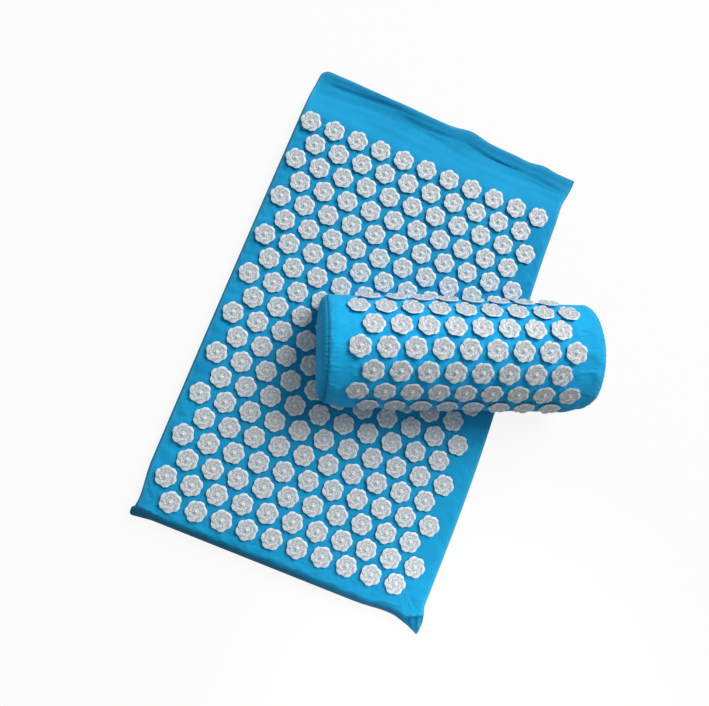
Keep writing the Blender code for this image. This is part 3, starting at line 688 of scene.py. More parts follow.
def headFolds(x, y):
    # the hem stands up as a soft roll, with a valley behind it that sharpens to creases at the right
    past = y - crease
    stretch = {}
    for name, (start, startFade, end, endFade) in hem["stretches"].items():
        stretch[name] = smooth((x - start) / startFade) * smooth((end - x) / endFade)
    lean = hem["lean"] * np.clip(x, 0, hem["leanEnd"]) * smooth((x - hem["leanStart"]) / hem["leanFade"])
    behind = past - (hem["line"] - lean + hem["sway"] * np.sin(x / hem["swayLength"]))
    first = past - mix(*hem["firstLine"], smooth((x - hem["firstStart"]) / hem["firstLength"]))
    rise = mix(*hem["rise"], smooth(x / hem["riseLength"]))
    full = np.maximum(stretch["left"], np.maximum(stretch["right"], stretch["corner"]))
    roll = hem["roll"] * smooth((behind + rise / 2) / rise) * mix(hem["rollLow"], 1.0, full)
    roll = np.maximum(roll, hem["roll"] * stretch["first"] * smooth(first / hem["firstRise"]))
    for name, depth, place, width in hem["grooves"]:
        line = first if name == "first" else behind
        roll = roll - depth * stretch[name] * bell(line - place, width)
    fold = hem["winding"]
    swing = fold["place"] + fold["swing"] * np.sin(x / fold["length"])
    roll = roll - fold["depth"] * stretch["left"] * bell(behind + swing, fold["width"])
    fold = hem["broad"]
    wave = 1 + np.sin(x / fold["across"] + past / fold["along"])
    roll = roll + fold["height"] * wave * bell(past + fold["place"], fold["width"])
    fold = hem["ripple"]
    wave = np.sin(past / fold["along"] + fold["swing"] * np.sin(x / fold["across"]))
    roll = roll + fold["height"] * wave * bell(past + fold["place"], fold["width"])
    fold = hem["pucker"]
    wave = np.sin(x / fold["pitch"] + fold["swing"] * np.sin(x / fold["swingLength"]))
    roll = roll + fold["height"] * wave * np.exp(-np.abs(past) / fold["fade"])
    lifted = np.maximum(stretch["first"], stretch["left"])
    fold = hem["lift"]
    share = np.clip(1 + (y - headEdge) / fold["reach"], 0, 1)
    roll = roll + fold["height"] * share * mix(fold["low"], 1.0, lifted)
    fold = hem["swell"]
    wave = np.cos(math.tau * (past + fold["place"]) / fold["length"])
    roll = roll + fold["height"] * lifted * wave * bell(past + fold["place"], fold["width"])
    ends = np.sqrt(np.clip(1 - (x / halfWidth) ** hem["endPower"], 0, 1))
    return roll * ends * (1 - smooth(1 + (y - headEdge) / hem["edgeFade"]))


def footFolds(x, y):
    # gathers that run out to the left ear, and the ridge along the foot
    dx = halfWidth + x
    dy = y - footEdge
    gap = np.hypot(dx, dy)
    depth = np.clip(gap / gathered["start"], 0, 1) * bell(gap, gathered["reach"])
    turn = gathered["count"] * np.arctan2(dy, dx) + gathered["turn"] + gap / gathered["curl"]
    folds = gathered["height"] * depth * (np.abs(np.sin(turn)) - gathered["level"])
    return folds + mat["footRidge"] * bell(dy - mat["footRoll"], mat["footRidgeWidth"])


def seamHeight(y):
    # the seam between the covers runs at mid-height, lower along the foot and down to the hem
    share = smooth((y - footEdge - mat["footSeamStart"]) / mat["footSeamFade"])
    return mix(mix(mat["footSeam"], mat["top"] / 2, share), mat["hemTop"] - mat["hemSeam"], fallOf(y))


def paintedShadeOf(x, y, foot, drop, low):
    # how much shade is painted on the cloth: at the foot, the sides, the right ear and the hem
    paintedShade = np.maximum(np.clip(paintedShades["foot"] * (1 - foot), 0, 1),
                      paintedShades["side"] * bell(halfWidth - np.abs(x), paintedShades["sideWidth"]))
    share = np.clip((low - paintedShades["earLow"]) / paintedShades["earFade"], 0, 1)
    paintedShade = np.maximum(paintedShade, drop * mix(*paintedShades["ear"], share))
    # a band of painted shade over the hem, and a thin painted dark line along the head edge
    hemShade = smooth((y - headEdge + paintedShades["hemStart"]) / paintedShades["hemFade"]) * paintedShades["hem"]
    hemShade = hemShade + paintedShades["hemEdge"] * bell(headEdge - y, paintedShades["hemEdgeWidth"])
    return np.maximum(paintedShade, np.clip(hemShade, 0, 1))


def frontPoints(x, y):
    X, Y = pullEars(x, y, *outline(x, y))
    drop, low, hanging = earDrop(X, Y)
    fall = fallOf(y)
    side = sideShare(x, mix(mat["roll"], mat["hemRoll"], fall))
    top = mix(mix(mat["top"], mat["hemTop"], fall), low, drop)
    seam = seamHeight(y) + mix(*mat["seamGaps"], fall)
    foot = footRise(x, y)
    rise = side * foot
    z = mix(seam, top, rise) + hanging * rise
    folded = np.clip(rise * (1 + hem["shoulder"]) - hem["shoulder"], 0, 1)
    z = z + headFolds(x, y) * folded + footFolds(x, y) * rise * (1 - drop)
    return np.stack([X, Y, z], -1), paintedShadeOf(x, y, foot, drop, low)


def matDiscs():
    places = []
    for row in range(mat["rows"]):
        for column in range(mat["longRow"] - row % 2):
            x = mat["columnLeft"] + (column + row % 2 / 2) * mat["discPitch"]
            places.append((row, x, mat["rowTop"] - row * mat["rowPitch"]))
    return places


def wornEdges(x, y):
    edge = np.minimum(halfWidth - np.abs(x), np.minimum(y - footEdge, headEdge - y)).ravel()
    return mat["wear"] * bell(edge - mat["wearPlace"], mat["wearPlace"])


def makeMatFront():
    fine = edgeSteps + [edgeSteps[-1] + step for step in cornerSteps]
    xs = stations(-halfWidth, halfWidth, mat["grid"], fine, fine)
    fine = footSteps + [footSteps[-1] + step for step in cornerSteps]
    body = stations(footEdge, slopeStart, mat["grid"], fine)
    last = [headEdge - step for step in mat["headEdgeSteps"]]
    head = np.linspace(slopeStart, last[0], mat["headSteps"] + 1)[1:]
    y, x = np.meshgrid(np.concatenate([body, head, last[1:]]), xs, indexing="ij")
    points, paintedShade = frontPoints(x, y)
    piece = clothPiece("mat_front_cloth", points, np.stack([x, y], -1))
    flat = points.reshape(-1, 3)
    held = np.abs(x.ravel()) > halfWidth - mat["pinned"]
    held |= (y.ravel() < footEdge + mat["pinned"]) | (y.ravel() > slopeStart)
    for _, discX, discY in matDiscs():
        held |= np.hypot(flat[:, 0] - discX, flat[:, 1] - discY) < mat["discFoot"]
    puff(piece, held, mat["slack"], mat["swell"])
    shift = softNoise(flat, mat["dentScale"], mat["dentSeed"]) * mat["dents"]
    shift[held & (y.ravel() < slopeStart)] = 0
    now = readPoints(piece.data)
    now[:, 2] += shift
    writePoints(piece.data, now)
    sewCloth(piece, cottonBlue, wornEdges(x, y) * (1 - paintedShade.ravel()), paintedShade.ravel())
    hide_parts("mat_front_cover", "mat_front_hem")
    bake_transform(piece)


def makeMatBack():
    xs = stations(-halfWidth, halfWidth, mat["backGrid"], edgeSteps, edgeSteps)
    body = stations(footEdge, slopeStart, mat["backGrid"], footSteps)
    head = np.linspace(slopeStart, headEdge - mat["headEdgeSteps"][1], mat["backHeadSteps"] + 1)[1:]
    y, x = np.meshgrid(np.concatenate([body, head]), xs, indexing="ij")
    roll = mix(mat["roll"], mat["hemRoll"], fallOf(y))
    seam = mix(seamHeight(y) - mat["seamGaps"][0], 0.0, smooth((y - crease) / mat["bend"]))
    foot = np.clip((y - footEdge) / mat["footUnder"], 0, 1)
    z = seam * (1 - sideShare(x, roll) * np.sqrt(1 - (1 - foot) ** 2))
    points = np.stack([*pullEars(x, y, *outline(x, y)), z], -1)
    dents = softNoise(points.reshape(-1, 3), mat["backDentScale"], mat["backDentSeed"])
    points[..., 2] += np.clip(dents.reshape(z.shape), 0, 1) * mat["backDents"]
    piece = clothPiece("mat_back_cloth", points, np.stack([x, y], -1), flip=True)
    sewCloth(piece, cottonBlue, wornEdges(x, y))
    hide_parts("mat_back_cover")
    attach(piece, "mat")


matFoam = {
    "inset": 0.009,  # both sides together, inside the cover
    "footGap": 0.0105, "headGap": 0.020, "thick": 0.0162, "bevel": 0.0055, "under": 0.0016,
    "cuts": 16, "cornerCut": 0.150, "corner": (0.155, 0.03), "cornerShort": 0.018,  # short of the right ear
    "fallLead": 0.003,
}


def startBlock(name, size, place, bevel, segments):
    # a block shaped from a cube, left in edit mode
    deselect()
    bpy.ops.mesh.primitive_cube_add(size=1.0)
    piece = bpy.context.object
    piece.name = name
    piece.data.name = name
    bpy.ops.object.mode_set(mode="EDIT")
    bpy.ops.transform.resize(value=size)
    bpy.ops.transform.translate(value=place)
    bpy.ops.mesh.bevel(offset=bevel, segments=segments, affect="EDGES")
    return piece


def cutThrough(place, normal):
    bpy.ops.mesh.select_all(action="SELECT")
    bpy.ops.mesh.bisect(plane_co=place, plane_no=normal)


def makeMatFoam():
    foam = matFoam
    low, high = footEdge + foam["footGap"], crease - foam["headGap"]
    size = (mat["width"] - foam["inset"], high - low, foam["thick"])
    place = (0, (high + low) / 2, mat["top"] / 2)
    piece = startBlock("mat_foam_block", size, place, foam["bevel"], 3)
    for step in range(1, foam["cuts"]):
        cutThrough((0, mix(low, high, step / foam["cuts"]), 0), (0, 1, 0))
    cutThrough((foam["cornerCut"], 0, 0), (1, 0, 0))
    bpy.ops.object.mode_set(mode="OBJECT")
    points = readPoints(piece.data)
    corner = (points[:, 0] > foam["corner"][0]) & (points[:, 1] < footEdge + foam["corner"][1])
    points[corner, 1] += foam["cornerShort"]
    upper = points[:, 2] > mat["top"] / 2
    points[upper, 2] -= (mat["top"] - mat["hemTop"]) * fallOf(points[upper, 1] + foam["fallLead"])
    points[:, 2] = np.maximum(points[:, 2], foam["under"])
    points[:, 0], points[:, 1] = lieOut(leftEdgeIn(points[:, 0], points[:, 1]), points[:, 1])
    writePoints(piece.data, points)
    dress(piece, foamPale, 40)
    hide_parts("mat_foam")
    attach(piece, "mat")


def hemFrame(distance, level):
    # a place on the hem, this far past the crease, with X along it
    ends = np.array(lieOut(halfWidth, crease)) - np.array(lieOut(-halfWidth, crease))
    place = Vector((*lieOut(0.0, crease + distance), level))
    return Matrix.Translation(place) @ Matrix.Rotation(math.atan2(ends[1], ends[0]), 4, "Z")


makeMatFront()
makeMatBack()
makeMatFoam()
print("mat sewn")


# tapes and stitches

tape = {
    "width": 0.014, "thick": 0.001, "bevel": 0.0003,
    "matLength": 0.380, "pillowLength": 0.320,
    "hemPlace": 0.010,  # past the crease
    "hookLevel": 0.0018, "loopLevel": 0.0031,  # each tape's middle, over the floor or the pillow's base
}
stitch = {
    "radius": 0.00026, "length": 0.0020, "sides": 6, "point": 0.0004, "pointInset": 0.00012,
    "arch": 0.00012, "archReach": 0.0012,
    "over": 0.00005,  # how far a stitch lies over the cloth
    "hemPitch": 0.0036, "hemCount": 112, "hemLines": {"inner": 0.0052, "outer": 0.0165}, "castFrom": 0.05,
    "basePitch": 0.0038, "baseCount": 84, "baseLines": (-0.0055, 0.0055),
}


def makeTape(name, body, length, placement, material):
    size = (length, tape["width"], tape["thick"])
    piece = startBlock(f"{name}_strip", size, (0, 0, 0), tape["bevel"], 2)
    bpy.ops.object.mode_set(mode="OBJECT")
    piece.data.transform(placement)
    dress(piece, material, 50)
    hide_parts(f"{name}_tape")
    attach(piece, body)


def stitchShape():
    # one thread stitch, arched over the cloth
    deselect()
    bpy.ops.mesh.primitive_cylinder_add(
        vertices=stitch["sides"], radius=stitch["radius"], depth=stitch["length"],
        rotation=(0, math.pi / 2, 0))
    piece = bpy.context.object
    bpy.ops.object.transform_apply(rotation=True)
    bpy.ops.object.mode_set(mode="EDIT")
    bpy.ops.mesh.select_mode(type="FACE")
    mesh = bmesh.from_edit_mesh(piece.data)
    for face in mesh.faces:
        face.select_set(abs(face.normal.x) > 0.9)
    bmesh.update_edit_mesh(piece.data)
    bpy.ops.mesh.inset(thickness=stitch["pointInset"], depth=stitch["point"], use_even_offset=False)
    bpy.ops.mesh.select_mode(type="VERT")
    bpy.ops.object.mode_set(mode="OBJECT")
    points = readPoints(piece.data)
    points[:, 2] += stitch["arch"] * (1 - (points[:, 0] / stitch["archReach"]) ** 2)
    writePoints(piece.data, points)
    return piece


def sewRow(name, places, body):
    # copies of the stitch at each placement, joined as one row of thread
    shape = stitchShape()
    base = readPoints(shape.data)
    turned = [base @ np.array(place.to_3x3()).T + np.array(place.translation) for place in places]
    points = np.concatenate(turned)
    faces = []
    for start in range(0, len(points), len(base)):
        faces += [[corner + start for corner in face.vertices] for face in shape.data.polygons]
    bpy.data.objects.remove(shape)
    piece = meshPiece(name, points, faces, points[:, :2])
    dress(piece, threadBlue, 50)
    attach(piece, body)


def spread(count, pitch):
    # places at an even pitch, centred on 0
    return [(step + 0.5 - count / 2) * pitch for step in range(count)]


def hemStitches(name, distance):
    cloth = bpy.data.objects["mat_front_cloth"].evaluated_get(bpy.context.evaluated_depsgraph_get())
    turn = hemFrame(distance, 0.0).to_3x3().to_4x4()
    places = []
    for x in spread(stitch["hemCount"], stitch["hemPitch"]):
        start = hemFrame(distance, stitch["castFrom"]) @ Vector((x, 0, 0))
        hit, spot, normal, _ = cloth.ray_cast(start, Vector((0, 0, -1)))
        if hit:
            tilt = Vector((0, 0, 1)).rotation_difference(normal).to_matrix().to_4x4()
            places.append(Matrix.Translation(spot + normal * stitch["over"]) @ tilt @ turn)
    sewRow(name, places, "closure_flap")


makeTape("mat_hook", "mat", tape["matLength"], hemFrame(tape["hemPlace"], tape["hookLevel"]),
         hookTape)
makeTape("mat_loop", "closure_flap", tape["matLength"], hemFrame(tape["hemPlace"], tape["loopLevel"]),
         loopTape)
for line, distance in stitch["hemLines"].items():
    hemStitches(f"hem_stitches_{line}", distance)
print("closure made")


# the pillow's cloth

pillow = {
    "length": 0.364, "radius": 0.0753, "centre": 0.0223, "corner": 0.010,
    "place": (0.1204, 0.0184, 0.0299), "yaw": 0.3421,
    "bulges": {-1: 0.0095, 1: 0.0036}, "endCentre": 0.045,
    "draw": 0.0022, "drawLength": 0.014,  # how far the cloth draws in at its ends
    # and how far more on the front, past the top, but not where it meets the base
    "frontDraw": 0.0050, "frontDrawLength": 0.030, "frontStart": 0.7, "frontRise": 0.6, "frontFade": 0.9,
    "pinch": 0.0010, "pinchWidth": 0.0022,
    "grid": 0.0036, "roundGrid": 0.0012,
    "rows": 7, "topRow": 3, "longRow": 9, "discPitch": 0.035399, "rowPitch": 0.0291, "shift": -0.002,
    "pinned": 0.001, "basePinned": 0.01, "discFoot": 0.0098,
    "slack": 0.012, "swell": 0.0008, "endSlack": 0.006, "endSwell": 0.003,
    "dents": 0.0005, "dentScale": 18.0, "dentSeed": 5.3,
    # the rear half of the base lies over the front half
    "lap": 0.020, "ramp": 0.006, "rampPlay": 0.002, "lapLevel": 0.0039, "lapPlay": 0.0015,
    "baseGrid": 0.004, "baseSteps": 73,
    "seam": 0.0003,  # between the panels
    # wear beside the end seams, and painted shade there
    "wear": 0.8, "wearWidth": 0.002, "paintedShade": 0.8, "shadeWidth": 0.0018,
}
# gathers along an end seam: two waves round the end, strongest low on the sides
endGathers = {
    "height": 0.00095, "pitch": 0.00092, "swing": 3, "swingLength": 0.017,
    "share": 0.6, "secondPitch": 0.00153, "turn": 2.0,
    "low": 0.25, "start": 0.035, "rise": 0.05, "baseFade": 0.01, "length": 0.0065,
}
seamSteps = [0.0, 0.0003, 0.001, 0.0021, 0.0036, 0.0055, 0.0078, 0.0106]  # finer beside the end seams
arch = pillow["radius"]
cornerReach = arch - pillow["corner"]
archAngle = math.acos((pillow["corner"] - pillow["centre"]) / cornerReach)
archRun = arch * archAngle
fullRun = archRun + pillow["corner"] * (math.pi - archAngle)
baseSeam = cornerReach * math.sin(archAngle)
pillowEnd = pillow["length"] / 2
pillowPlace = Matrix.Translation(pillow["place"]) @ Matrix.Rotation(pillow["yaw"], 4, "Z")


def placed(points):
    turn = np.array(pillowPlace.to_3x3())
    return points @ turn.T + np.array(pillowPlace.translation)


def archPoints(along, run, depth=0.0):
    # the pillow's outline this far round from its top, and this deep under the cloth
    size = np.abs(run)
    angle = np.where(size <= archRun, size / arch, archAngle + (size - archRun) / pillow["corner"])
    end = np.abs(along) - pillowEnd
    share = np.clip(1 + end / pillow["drawLength"], 0, 1)
    inset = depth + pillow["draw"] * share ** 2 * (1 + np.cos(angle)) / 2
    inset = inset + pillow["pinch"] * bell(end, pillow["pinchWidth"])
    front = smooth(1 + end / pillow["frontDrawLength"]) * smooth((math.pi - angle) / pillow["frontFade"])
    front = front * smooth((-np.sign(run) * angle - pillow["frontStart"]) / pillow["frontRise"])
    inset = inset + pillow["frontDraw"] * front
    onArch = angle <= archAngle
    reach = np.where(onArch, arch, pillow["corner"]) - inset
    y = np.where(onArch, 0, baseSeam) + reach * np.sin(angle)
    z = np.where(onArch, pillow["centre"], pillow["corner"]) + reach * np.cos(angle)
    return np.stack([along + 0 * y, np.copysign(y, run), z], -1), np.copysign(angle, run)


def pillowDiscs():
    places = []
    for row in range(pillow["rows"]):
        count = pillow["longRow"] - (row + 1) % 2
        for along in spread(count, pillow["discPitch"]):
            places.append((row, along + pillow["shift"], (row - pillow["topRow"]) * pillow["rowPitch"]))
    return places


def gathers(run, side):
    # how far the gathers stand out here
    fold = endGathers
    wave = np.sin(run / fold["pitch"] + fold["swing"] * np.sin(run / fold["swingLength"] + side))
    wave = wave + fold["share"] * np.sin(run / fold["secondPitch"] + side * fold["turn"])
    low = mix(fold["low"], 1.0, smooth((np.abs(run) - fold["start"]) / fold["rise"]))
    return fold["height"] * wave * low * np.clip((fullRun - np.abs(run)) / fold["baseFade"], 0, 1)


def makePillowFront():
    alongs = stations(-pillowEnd, pillowEnd, pillow["grid"], seamSteps, seamSteps)
    runs = stations(-fullRun, fullRun, pillow["roundGrid"])
    run, along = np.meshgrid(runs, alongs, indexing="ij")
    points, angle = archPoints(along, run)
    near = pillowEnd - np.abs(along)
    ripple = gathers(run, np.sign(along)) * np.exp(-near / endGathers["length"])
    out = np.stack([0 * angle, np.sin(angle), np.cos(angle)], -1)
    points = points + out * ripple[..., None]
    piece = clothPiece("pillow_front_cloth", points, np.stack([along, run], -1), flip=True)
    near = near.ravel()
    held = (near < pillow["pinned"]) | (np.abs(run).ravel() > archRun - pillow["basePinned"])
    for _, discAlong, discRun in pillowDiscs():
        held |= np.hypot(along.ravel() - discAlong, run.ravel() - discRun) < pillow["discFoot"]
    puff(piece, held, pillow["slack"], pillow["swell"])
    shift = softNoise(points.reshape(-1, 3), pillow["dentScale"], pillow["dentSeed"]) * pillow["dents"]
    shift[held] = 0
    writePoints(piece.data, placed(readPoints(piece.data) + out.reshape(-1, 3) * shift[:, None]))
    # the cloth is worn next to the end seams, and shade is painted along them
    rub = pillow["wear"] * np.exp(-near / pillow["wearWidth"])
    sewCloth(piece, litPillowBlue, rub, pillow["paintedShade"] * bell(near, pillow["shadeWidth"]))
    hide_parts("pillow_front_cover")
    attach(piece, "pillow")


def endSeam(side):
    # the end's outline: round the arch, then back along the base
    runs = stations(-fullRun, fullRun, pillow["roundGrid"])
    section, angle = archPoints(np.full_like(runs, pillowEnd), runs)
    ripple = gathers(runs, side)
    section[:, 1] += np.sin(angle) * ripple
    section[:, 2] += np.cos(angle) * ripple
    base = np.linspace(baseSeam, -baseSeam, endPanel["baseSteps"] + 1)[1:-1]
    flat = np.stack([np.full_like(base, pillowEnd), base, np.zeros_like(base)], -1)
    return np.concatenate([section, flat]), np.concatenate([ripple, 0 * base])


endPanel = {
    # rings of the panel, as shares of its outline
    "shares": (1.0, 0.992, 0.978, 0.96, 0.935, 0.90, 0.855, 0.80, 0.72, 0.62, 0.50, 0.36, 0.20),
    "bulgePower": 6,
    "gather": 7.2, "gatherFade": 60 / 6.5,  # the gathers run in from the seam and die away
    # wear and painted shade near the panel's seam
    "wear": 0.4, "wearFade": 30, "paintedShade": 0.8, "shadeFade": 18,
    "baseSteps": 39,
}


def makePillowEnd(name, side):
    seam, ripple = endSeam(side)
    sizes = np.array(endPanel["shares"])
    outer = pillowEnd + pillow["seam"]
    rings = []
    for size in sizes:
        ring = seam.copy()
        ring[:, 1] *= size
        ring[:, 2] = mix(pillow["endCentre"], ring[:, 2], size)
        inner = endPanel["gather"] * (1 - size) * np.exp((size - 1) * endPanel["gatherFade"])
        bulge = pillow["bulges"][side] * math.sqrt(1 - size ** endPanel["bulgePower"])
        ring[:, 0] = side * (outer + bulge + ripple * inner)
        rings.append(ring)
    tip = np.array([[side * (outer + pillow["bulges"][side]), 0, pillow["endCentre"]]])
    points = np.concatenate(rings + [tip])
    count = len(seam)
    faces = ringFaces(len(sizes), count)
    last = (len(sizes) - 1) * count
    faces += [[last + step, last + (step + 1) % count, len(points) - 1] for step in range(count)]
    if side > 0:
        faces = [face[::-1] for face in faces]
    piece = meshPiece(f"{name}_cloth", points, faces, points[:, 1:])
    puff(piece, np.arange(len(points)) < count, pillow["endSlack"], pillow["endSwell"])
    writePoints(piece.data, placed(readPoints(piece.data)))
    near = 1 - np.repeat(sizes, count)
    rub = endPanel["wear"] * np.exp(-near * endPanel["wearFade"])
    # painted shade round the panel's seam
    paintedShade = endPanel["paintedShade"] * np.exp(-near * endPanel["shadeFade"])
    sewCloth(piece, litPillowBlue, np.append(rub, 0), np.append(paintedShade, 0))
    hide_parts(name)
    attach(piece, "pillow")


def makeBaseHalf(name, profile):
    # a half of the base, drawn from seam to seam along its profile
    profile = np.array(profile)
    lengths = np.concatenate([[0], np.cumsum(np.linalg.norm(np.diff(profile, axis=0), axis=1))])
    steps = np.linspace(0, lengths[-1], max(8, round(lengths[-1] / pillow["baseGrid"])) + 1)
    alongs = np.linspace(-pillowEnd, pillowEnd, pillow["baseSteps"] + 1)
    run, along = np.meshgrid(steps, alongs, indexing="ij")
    y = np.interp(run, lengths, profile[:, 0])
    z = np.interp(run, lengths, profile[:, 1])
    flip = profile[-1, 0] < profile[0, 0]
    points = placed(np.stack([along, y, z], -1))
    piece = clothPiece(f"{name}_cloth", points, np.stack([along, run], -1), flip=flip)
    sewCloth(piece, litPillowBlue, 0 * z.ravel(), degrees=50)
    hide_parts(name)
    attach(piece, "pillow")


def makePillowBase():
    seam = baseSeam - pillow["seam"]
    lap = pillow["lap"] / 2
    makeBaseHalf("pillow_base_front", [(-seam, 0), (lap, 0)])
    over = pillow["lapLevel"]
    ramp = lap + pillow["ramp"] + pillow["rampPlay"]
    rear = [(seam, 0), (ramp, 0), (lap + pillow["lapPlay"], over), (-lap, over)]
    makeBaseHalf("pillow_base_rear", rear)
    for kind, level, material, lies in (("hook", tape["hookLevel"], hookTape, "pillow_base_front"),
                                        ("loop", tape["loopLevel"], loopTape, "pillow_base_rear")):
        placement = pillowPlace @ Matrix.Translation((0, 0, level))
        makeTape(f"pillow_{kind}", "pillow", tape["pillowLength"], placement, material)
    under = Matrix.Rotation(math.pi, 4, "X")
    places = []
    for line in stitch["baseLines"]:
        for x in spread(stitch["baseCount"], stitch["basePitch"]):
            places.append(pillowPlace @ Matrix.Translation((x, line, -stitch["over"])) @ under)
    sewRow("pillow_base_stitches", places, "pillow")


pillowFoam = {
    # along the pillow, and how deep under the cloth the foam lies there
    "sections": (
        (-0.186, 0.020), (-0.184, 0.010), (-0.178, 0.0055), (-0.168, 0.0042),
        (-0.11, 0.0034), (-0.055, 0.0034), (0.0, 0.0034), (0.055, 0.0034), (0.11, 0.0034),
        (0.167, 0.0042), (0.176, 0.0055), (0.1812, 0.010), (0.1828, 0.020)),
    "depth": 0.0034, "deepest": 0.0095, "shrink": 4.0,  # where it lies deeper than this, it shrinks as well
    "under": 0.0062,  # the foam's underside, over the pillow's base
    "steps": 49, "weld": 0.00001,
}


def makePillowFoam():
    foam = pillowFoam
    runs = np.linspace(-fullRun, fullRun, foam["steps"])
    rings = []
    for along, depth in foam["sections"]:
        section, _ = archPoints(np.zeros_like(runs), runs, min(depth, foam["deepest"]))
        size = 1 - (depth - foam["depth"]) * foam["shrink"]
        section[:, 0] = along
        section[:, 1] *= size
        section[:, 2] = np.maximum(mix(pillow["endCentre"], section[:, 2], size), foam["under"])
        rings.append(section)
    points = np.concatenate(rings)
    last = len(points) - len(runs)
    faces = ringFaces(len(rings), len(runs))
    faces += [list(range(len(runs)))[::-1], list(range(last, len(points)))]
    piece = meshPiece("pillow_foam_core", placed(points), faces, points[:, :2])
    pick(piece)
    bpy.ops.object.mode_set(mode="EDIT")
    bpy.ops.mesh.select_all(action="SELECT")
    bpy.ops.mesh.remove_doubles(threshold=foam["weld"])
    bpy.ops.mesh.normals_make_consistent(inside=False)
    bpy.ops.object.mode_set(mode="OBJECT")
    dress(piece, foamPale, 40)
    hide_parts("pillow_foam")
    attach(piece, "pillow")


makePillowFront()
makePillowEnd("pillow_left_end", -1)
makePillowEnd("pillow_right_end", 1)
makePillowBase()
makePillowFoam()
print("pillow sewn")


# petal discs

disc = {
    "sides": 18,  # three for each petal
    "petals": 6,
    # radius and height of the petals and of the notches between them, from the foot up
    "foot": (0.0105, 0.0, 0.0105, 0.0),
    "edge": (0.0149, 0.0040, 0.0132, 0.0035),
    "crest": (0.0137, 0.0049, 0.0121, 0.0042),
    "lip": (0.0088, 0.0043, 0.0074, 0.0036),
    "well": (0.0029, 0.0037, 0.0029, 0.0037),
    "tip": 0.0080,
    "twist": 0.35,  # share of a petal that the inner petals are turned by
    "ringShares": (0.7, 1.0, 0.91, 0.58, 0.21, 0.0),  # where each ring lies on the map, from the foot up
    "turnShare": 0.618,  # of a petal, from each disc to the next
    "seat": 0.0002,  # over the cloth
}


def pickRing(petals, notches, turned):
    # selects the vertices of the top ring, which come last; every third one is a notch
    mesh = bmesh.from_edit_mesh(bpy.context.object.data)
    mesh.verts.ensure_lookup_table()
    for vertex in mesh.verts:
        vertex.select_set(False)
    for vertex in mesh.verts[-disc["sides"]:]:
        angle = math.atan2(vertex.co.y, vertex.co.x) - turned
        step = round((angle / math.tau - 0.25) * disc["sides"])
        vertex.select_set(notches if step % 3 == 0 else petals)
    mesh.select_flush_mode()
    bmesh.update_edit_mesh(bpy.context.object.data)


def pushRing(last, ring, turned=0.0, twist=0.0):
    # the top face goes on as the next ring: sized and lifted, with its notches drawn in, and then turned
    bpy.ops.mesh.extrude_region_move()
    for first, petals in ((0, True), (2, False)):
        pickRing(petals, not petals, turned)
        size = ring[first] / last[first]
        bpy.ops.transform.resize(value=(size, size, 1.0), center_override=(0, 0, 0))
        bpy.ops.transform.translate(value=(0, 0, ring[first + 1] - last[first + 1]))
    pickRing(True, True, turned)
    if twist:
        bpy.ops.transform.rotate(value=-twist, orient_axis="Z", center_override=(0, 0, 0))


def mapPetals(shape):
    # the map runs from the tip (0) to the rim (1), and round the disc one unit for each petal
    mesh = shape.data
    layer = mesh.uv_layers.get("UVMap") or mesh.uv_layers.new(name="UVMap")
    layer.name = "petalMap"
    points = readPoints(mesh)
    ringOf = np.minimum(np.arange(len(points)) // disc["sides"], len(disc["ringShares"]) - 1)
    for face in mesh.polygons:
        middle = math.atan2(face.center.y, face.center.x)
        for corner in face.loop_indices:
            index = mesh.loops[corner].vertex_index
            x, y, _ = points[index]
            angle = math.atan2(y, x) if math.hypot(x, y) > 1e-5 else middle
            angle = middle + (angle - middle + math.pi) % math.tau - math.pi
            layer.data[corner].uv = (disc["ringShares"][ringOf[index]], angle / math.tau * disc["petals"])


def makeDiscShape():
    deselect()
    bpy.ops.mesh.primitive_circle_add(vertices=disc["sides"], radius=disc["foot"][0], fill_type="NGON")
    shape = bpy.context.object
    bpy.ops.object.mode_set(mode="EDIT")
    bpy.ops.mesh.select_all(action="SELECT")
    twist = disc["twist"] * math.tau / disc["petals"]
    pushRing(disc["foot"], disc["edge"])
    pushRing(disc["edge"], disc["crest"])
    pushRing(disc["crest"], disc["lip"], twist=twist)
    pushRing(disc["lip"], disc["well"], turned=twist, twist=twist)
    lift = disc["tip"] - disc["well"][1]
    bpy.ops.mesh.extrude_region_move(TRANSFORM_OT_translate={"value": (0, 0, lift)})
    bpy.ops.mesh.merge(type="CENTER")
    bpy.ops.mesh.select_all(action="SELECT")
    bpy.ops.mesh.normals_make_consistent(inside=False)
    bpy.ops.object.mode_set(mode="OBJECT")
    mapPetals(shape)
    softShade(shape, 60)
    shape.data.materials.append(discWhite)
    return shape


def setDiscs(shape, body, digits, seats):
    # a copy for each seat; those that stand for a node of the frame are counted on their own
    loose = 0
    for index, (seat, isNode) in enumerate(seats):
        name = f"{body}_petal_disc_{index + 1:0{digits}d}"
        piece = bpy.data.objects.new(name, shape.data.copy())
        piece.data.name = name
        scene.collection.objects.link(piece)
        turn = math.tau / disc["petals"] * (index * disc["turnShare"] % 1.0)
        piece.data.transform(seat @ Matrix.Rotation(turn, 4, "Z"))
        if isNode:
            loose += 1
            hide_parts(f"{body}_disc_{loose:02d}")
        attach(piece, body)


def pillowSeat(along, run):
    spot, angle = archPoints(np.array(along), np.array(run), -disc["seat"])
    seat = Matrix.Translation(Vector(spot)) @ Matrix.Rotation(-float(angle), 4, "X")
    return pillowPlace @ seat


def makeDiscs():
    shape = makeDiscShape()
    level = mat["top"] + disc["seat"]
    ends = (0, mat["rows"] - 1)
    setDiscs(shape, "mat", 3, [(Matrix.Translation((x, y, level)), row in ends) for row, x, y in matDiscs()])
    seats = [(pillowSeat(along, run), row == pillow["topRow"]) for row, along, run in pillowDiscs()]
    setDiscs(shape, "pillow", 2, seats)
    bpy.data.objects.remove(shape)


makeDiscs()
print("discs set")


# floor, backdrop and light

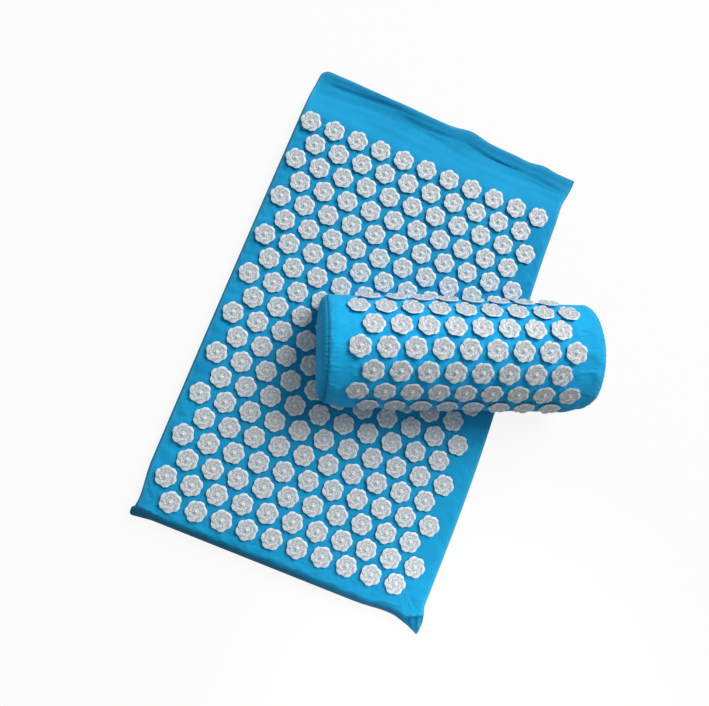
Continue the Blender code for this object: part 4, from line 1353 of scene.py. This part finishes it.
studio = {
    "floor": 0.80, "floorBounce": 0.28,  # the floor throws back less light than it shows
    "lift": 0.90,  # how much of the floor is plain white to the camera
    "floorSize": 9.0, "floorLevel": -0.0002, "floorRoughness": 0.9,
    "world": 0.30,
    "keyTurn": 62.0,  # degrees from +X, where the key lamp stands
    "keyHeight": 40.0,
    "keyFar": 11.0, "keySize": 7.0, "keyPower": 1300.0, "keySpread": 180.0,
    "cornerPlace": (0.34, -0.50, 0.52), "cornerSize": 0.12, "cornerPower": 0.55, "cornerSpread": 80.0,
}
white = (1.0, 1.0, 1.0, 1.0)


def addLamp(name, place, away):
    lamp = bpy.data.lights.new(f"{name}Lamp", "AREA")
    lamp.shape = "DISK"
    lamp.size = studio[f"{name}Size"]
    lamp.energy = studio[f"{name}Power"]
    lamp.spread = math.radians(studio[f"{name}Spread"])
    holder = bpy.data.objects.new(f"{name}Lamp", lamp)
    scene.collection.objects.link(holder)
    holder.location = place
    holder.rotation_euler = away.to_track_quat("Z", "Y").to_euler()


def plainRays(tree):
    # 1 for the rays that the camera sees directly, in a reflection or through the object
    path = tree.nodes.new("ShaderNodeLightPath")
    seen = mathNode(tree, "MAXIMUM", path.outputs["Is Camera Ray"], path.outputs["Is Glossy Ray"])
    return mathNode(tree, "MAXIMUM", seen, path.outputs["Is Transmission Ray"])


def mixShaders(tree, share, first, second, surface):
    both = tree.nodes.new("ShaderNodeMixShader")
    for value, socket in zip((share, first, second), both.inputs):
        tree.links.new(value, socket)
    tree.links.new(both.outputs["Shader"], surface)


def makeFloor():
    deselect()
    bpy.ops.mesh.primitive_plane_add(size=studio["floorSize"], location=(0, 0, 0))
    floor = bpy.context.object
    floor.name = "floor"
    floor.location.z = studio["floorLevel"]
    bpy.ops.object.transform_apply(location=True)
    material, tree, shader = startFinish("floorPale", studio["floorRoughness"])
    shader.inputs["Specular IOR Level"].default_value = 0.0
    seen = plainRays(tree)
    grey = scaled(tree, seen, studio["floor"] - studio["floorBounce"], studio["floorBounce"])
    plug(tree, grey, shader.inputs["Base Color"])
    glow = tree.nodes.new("ShaderNodeEmission")
    glow.inputs["Strength"].default_value = 1.0
    lift = mathNode(tree, "MULTIPLY", seen, studio["lift"])
    mixShaders(tree, lift, shader.outputs["BSDF"], glow.outputs["Emission"],
               tree.nodes["Material Output"].inputs["Surface"])
    floor.data.materials.append(material)


def makeWorld():
    world = bpy.data.worlds.new("studioWorld")
    scene.world = world
    world.use_nodes = True
    tree = world.node_tree
    back = tree.nodes["Background"]
    wall = tree.nodes.new("ShaderNodeBackground")
    for node, strength in ((back, studio["world"]), (wall, 1.0)):
        node.inputs["Color"].default_value = white
        node.inputs["Strength"].default_value = strength
    mixShaders(tree, plainRays(tree), back.outputs["Background"], wall.outputs["Background"],
               tree.nodes["World Output"].inputs["Surface"])


def addLamps():
    turn, height = math.radians(studio["keyTurn"]), math.radians(studio["keyHeight"])
    away = Vector((math.cos(turn) * math.cos(height), math.sin(turn) * math.cos(height), math.sin(height)))
    addLamp("key", away * studio["keyFar"], away)
    addLamp("corner", studio["cornerPlace"], Vector((0, 0, 1)))


makeFloor()
makeWorld()
addLamps()
scene.view_settings.view_transform = "Standard"
print("studio lit")

bpy.context.view_layer.update()
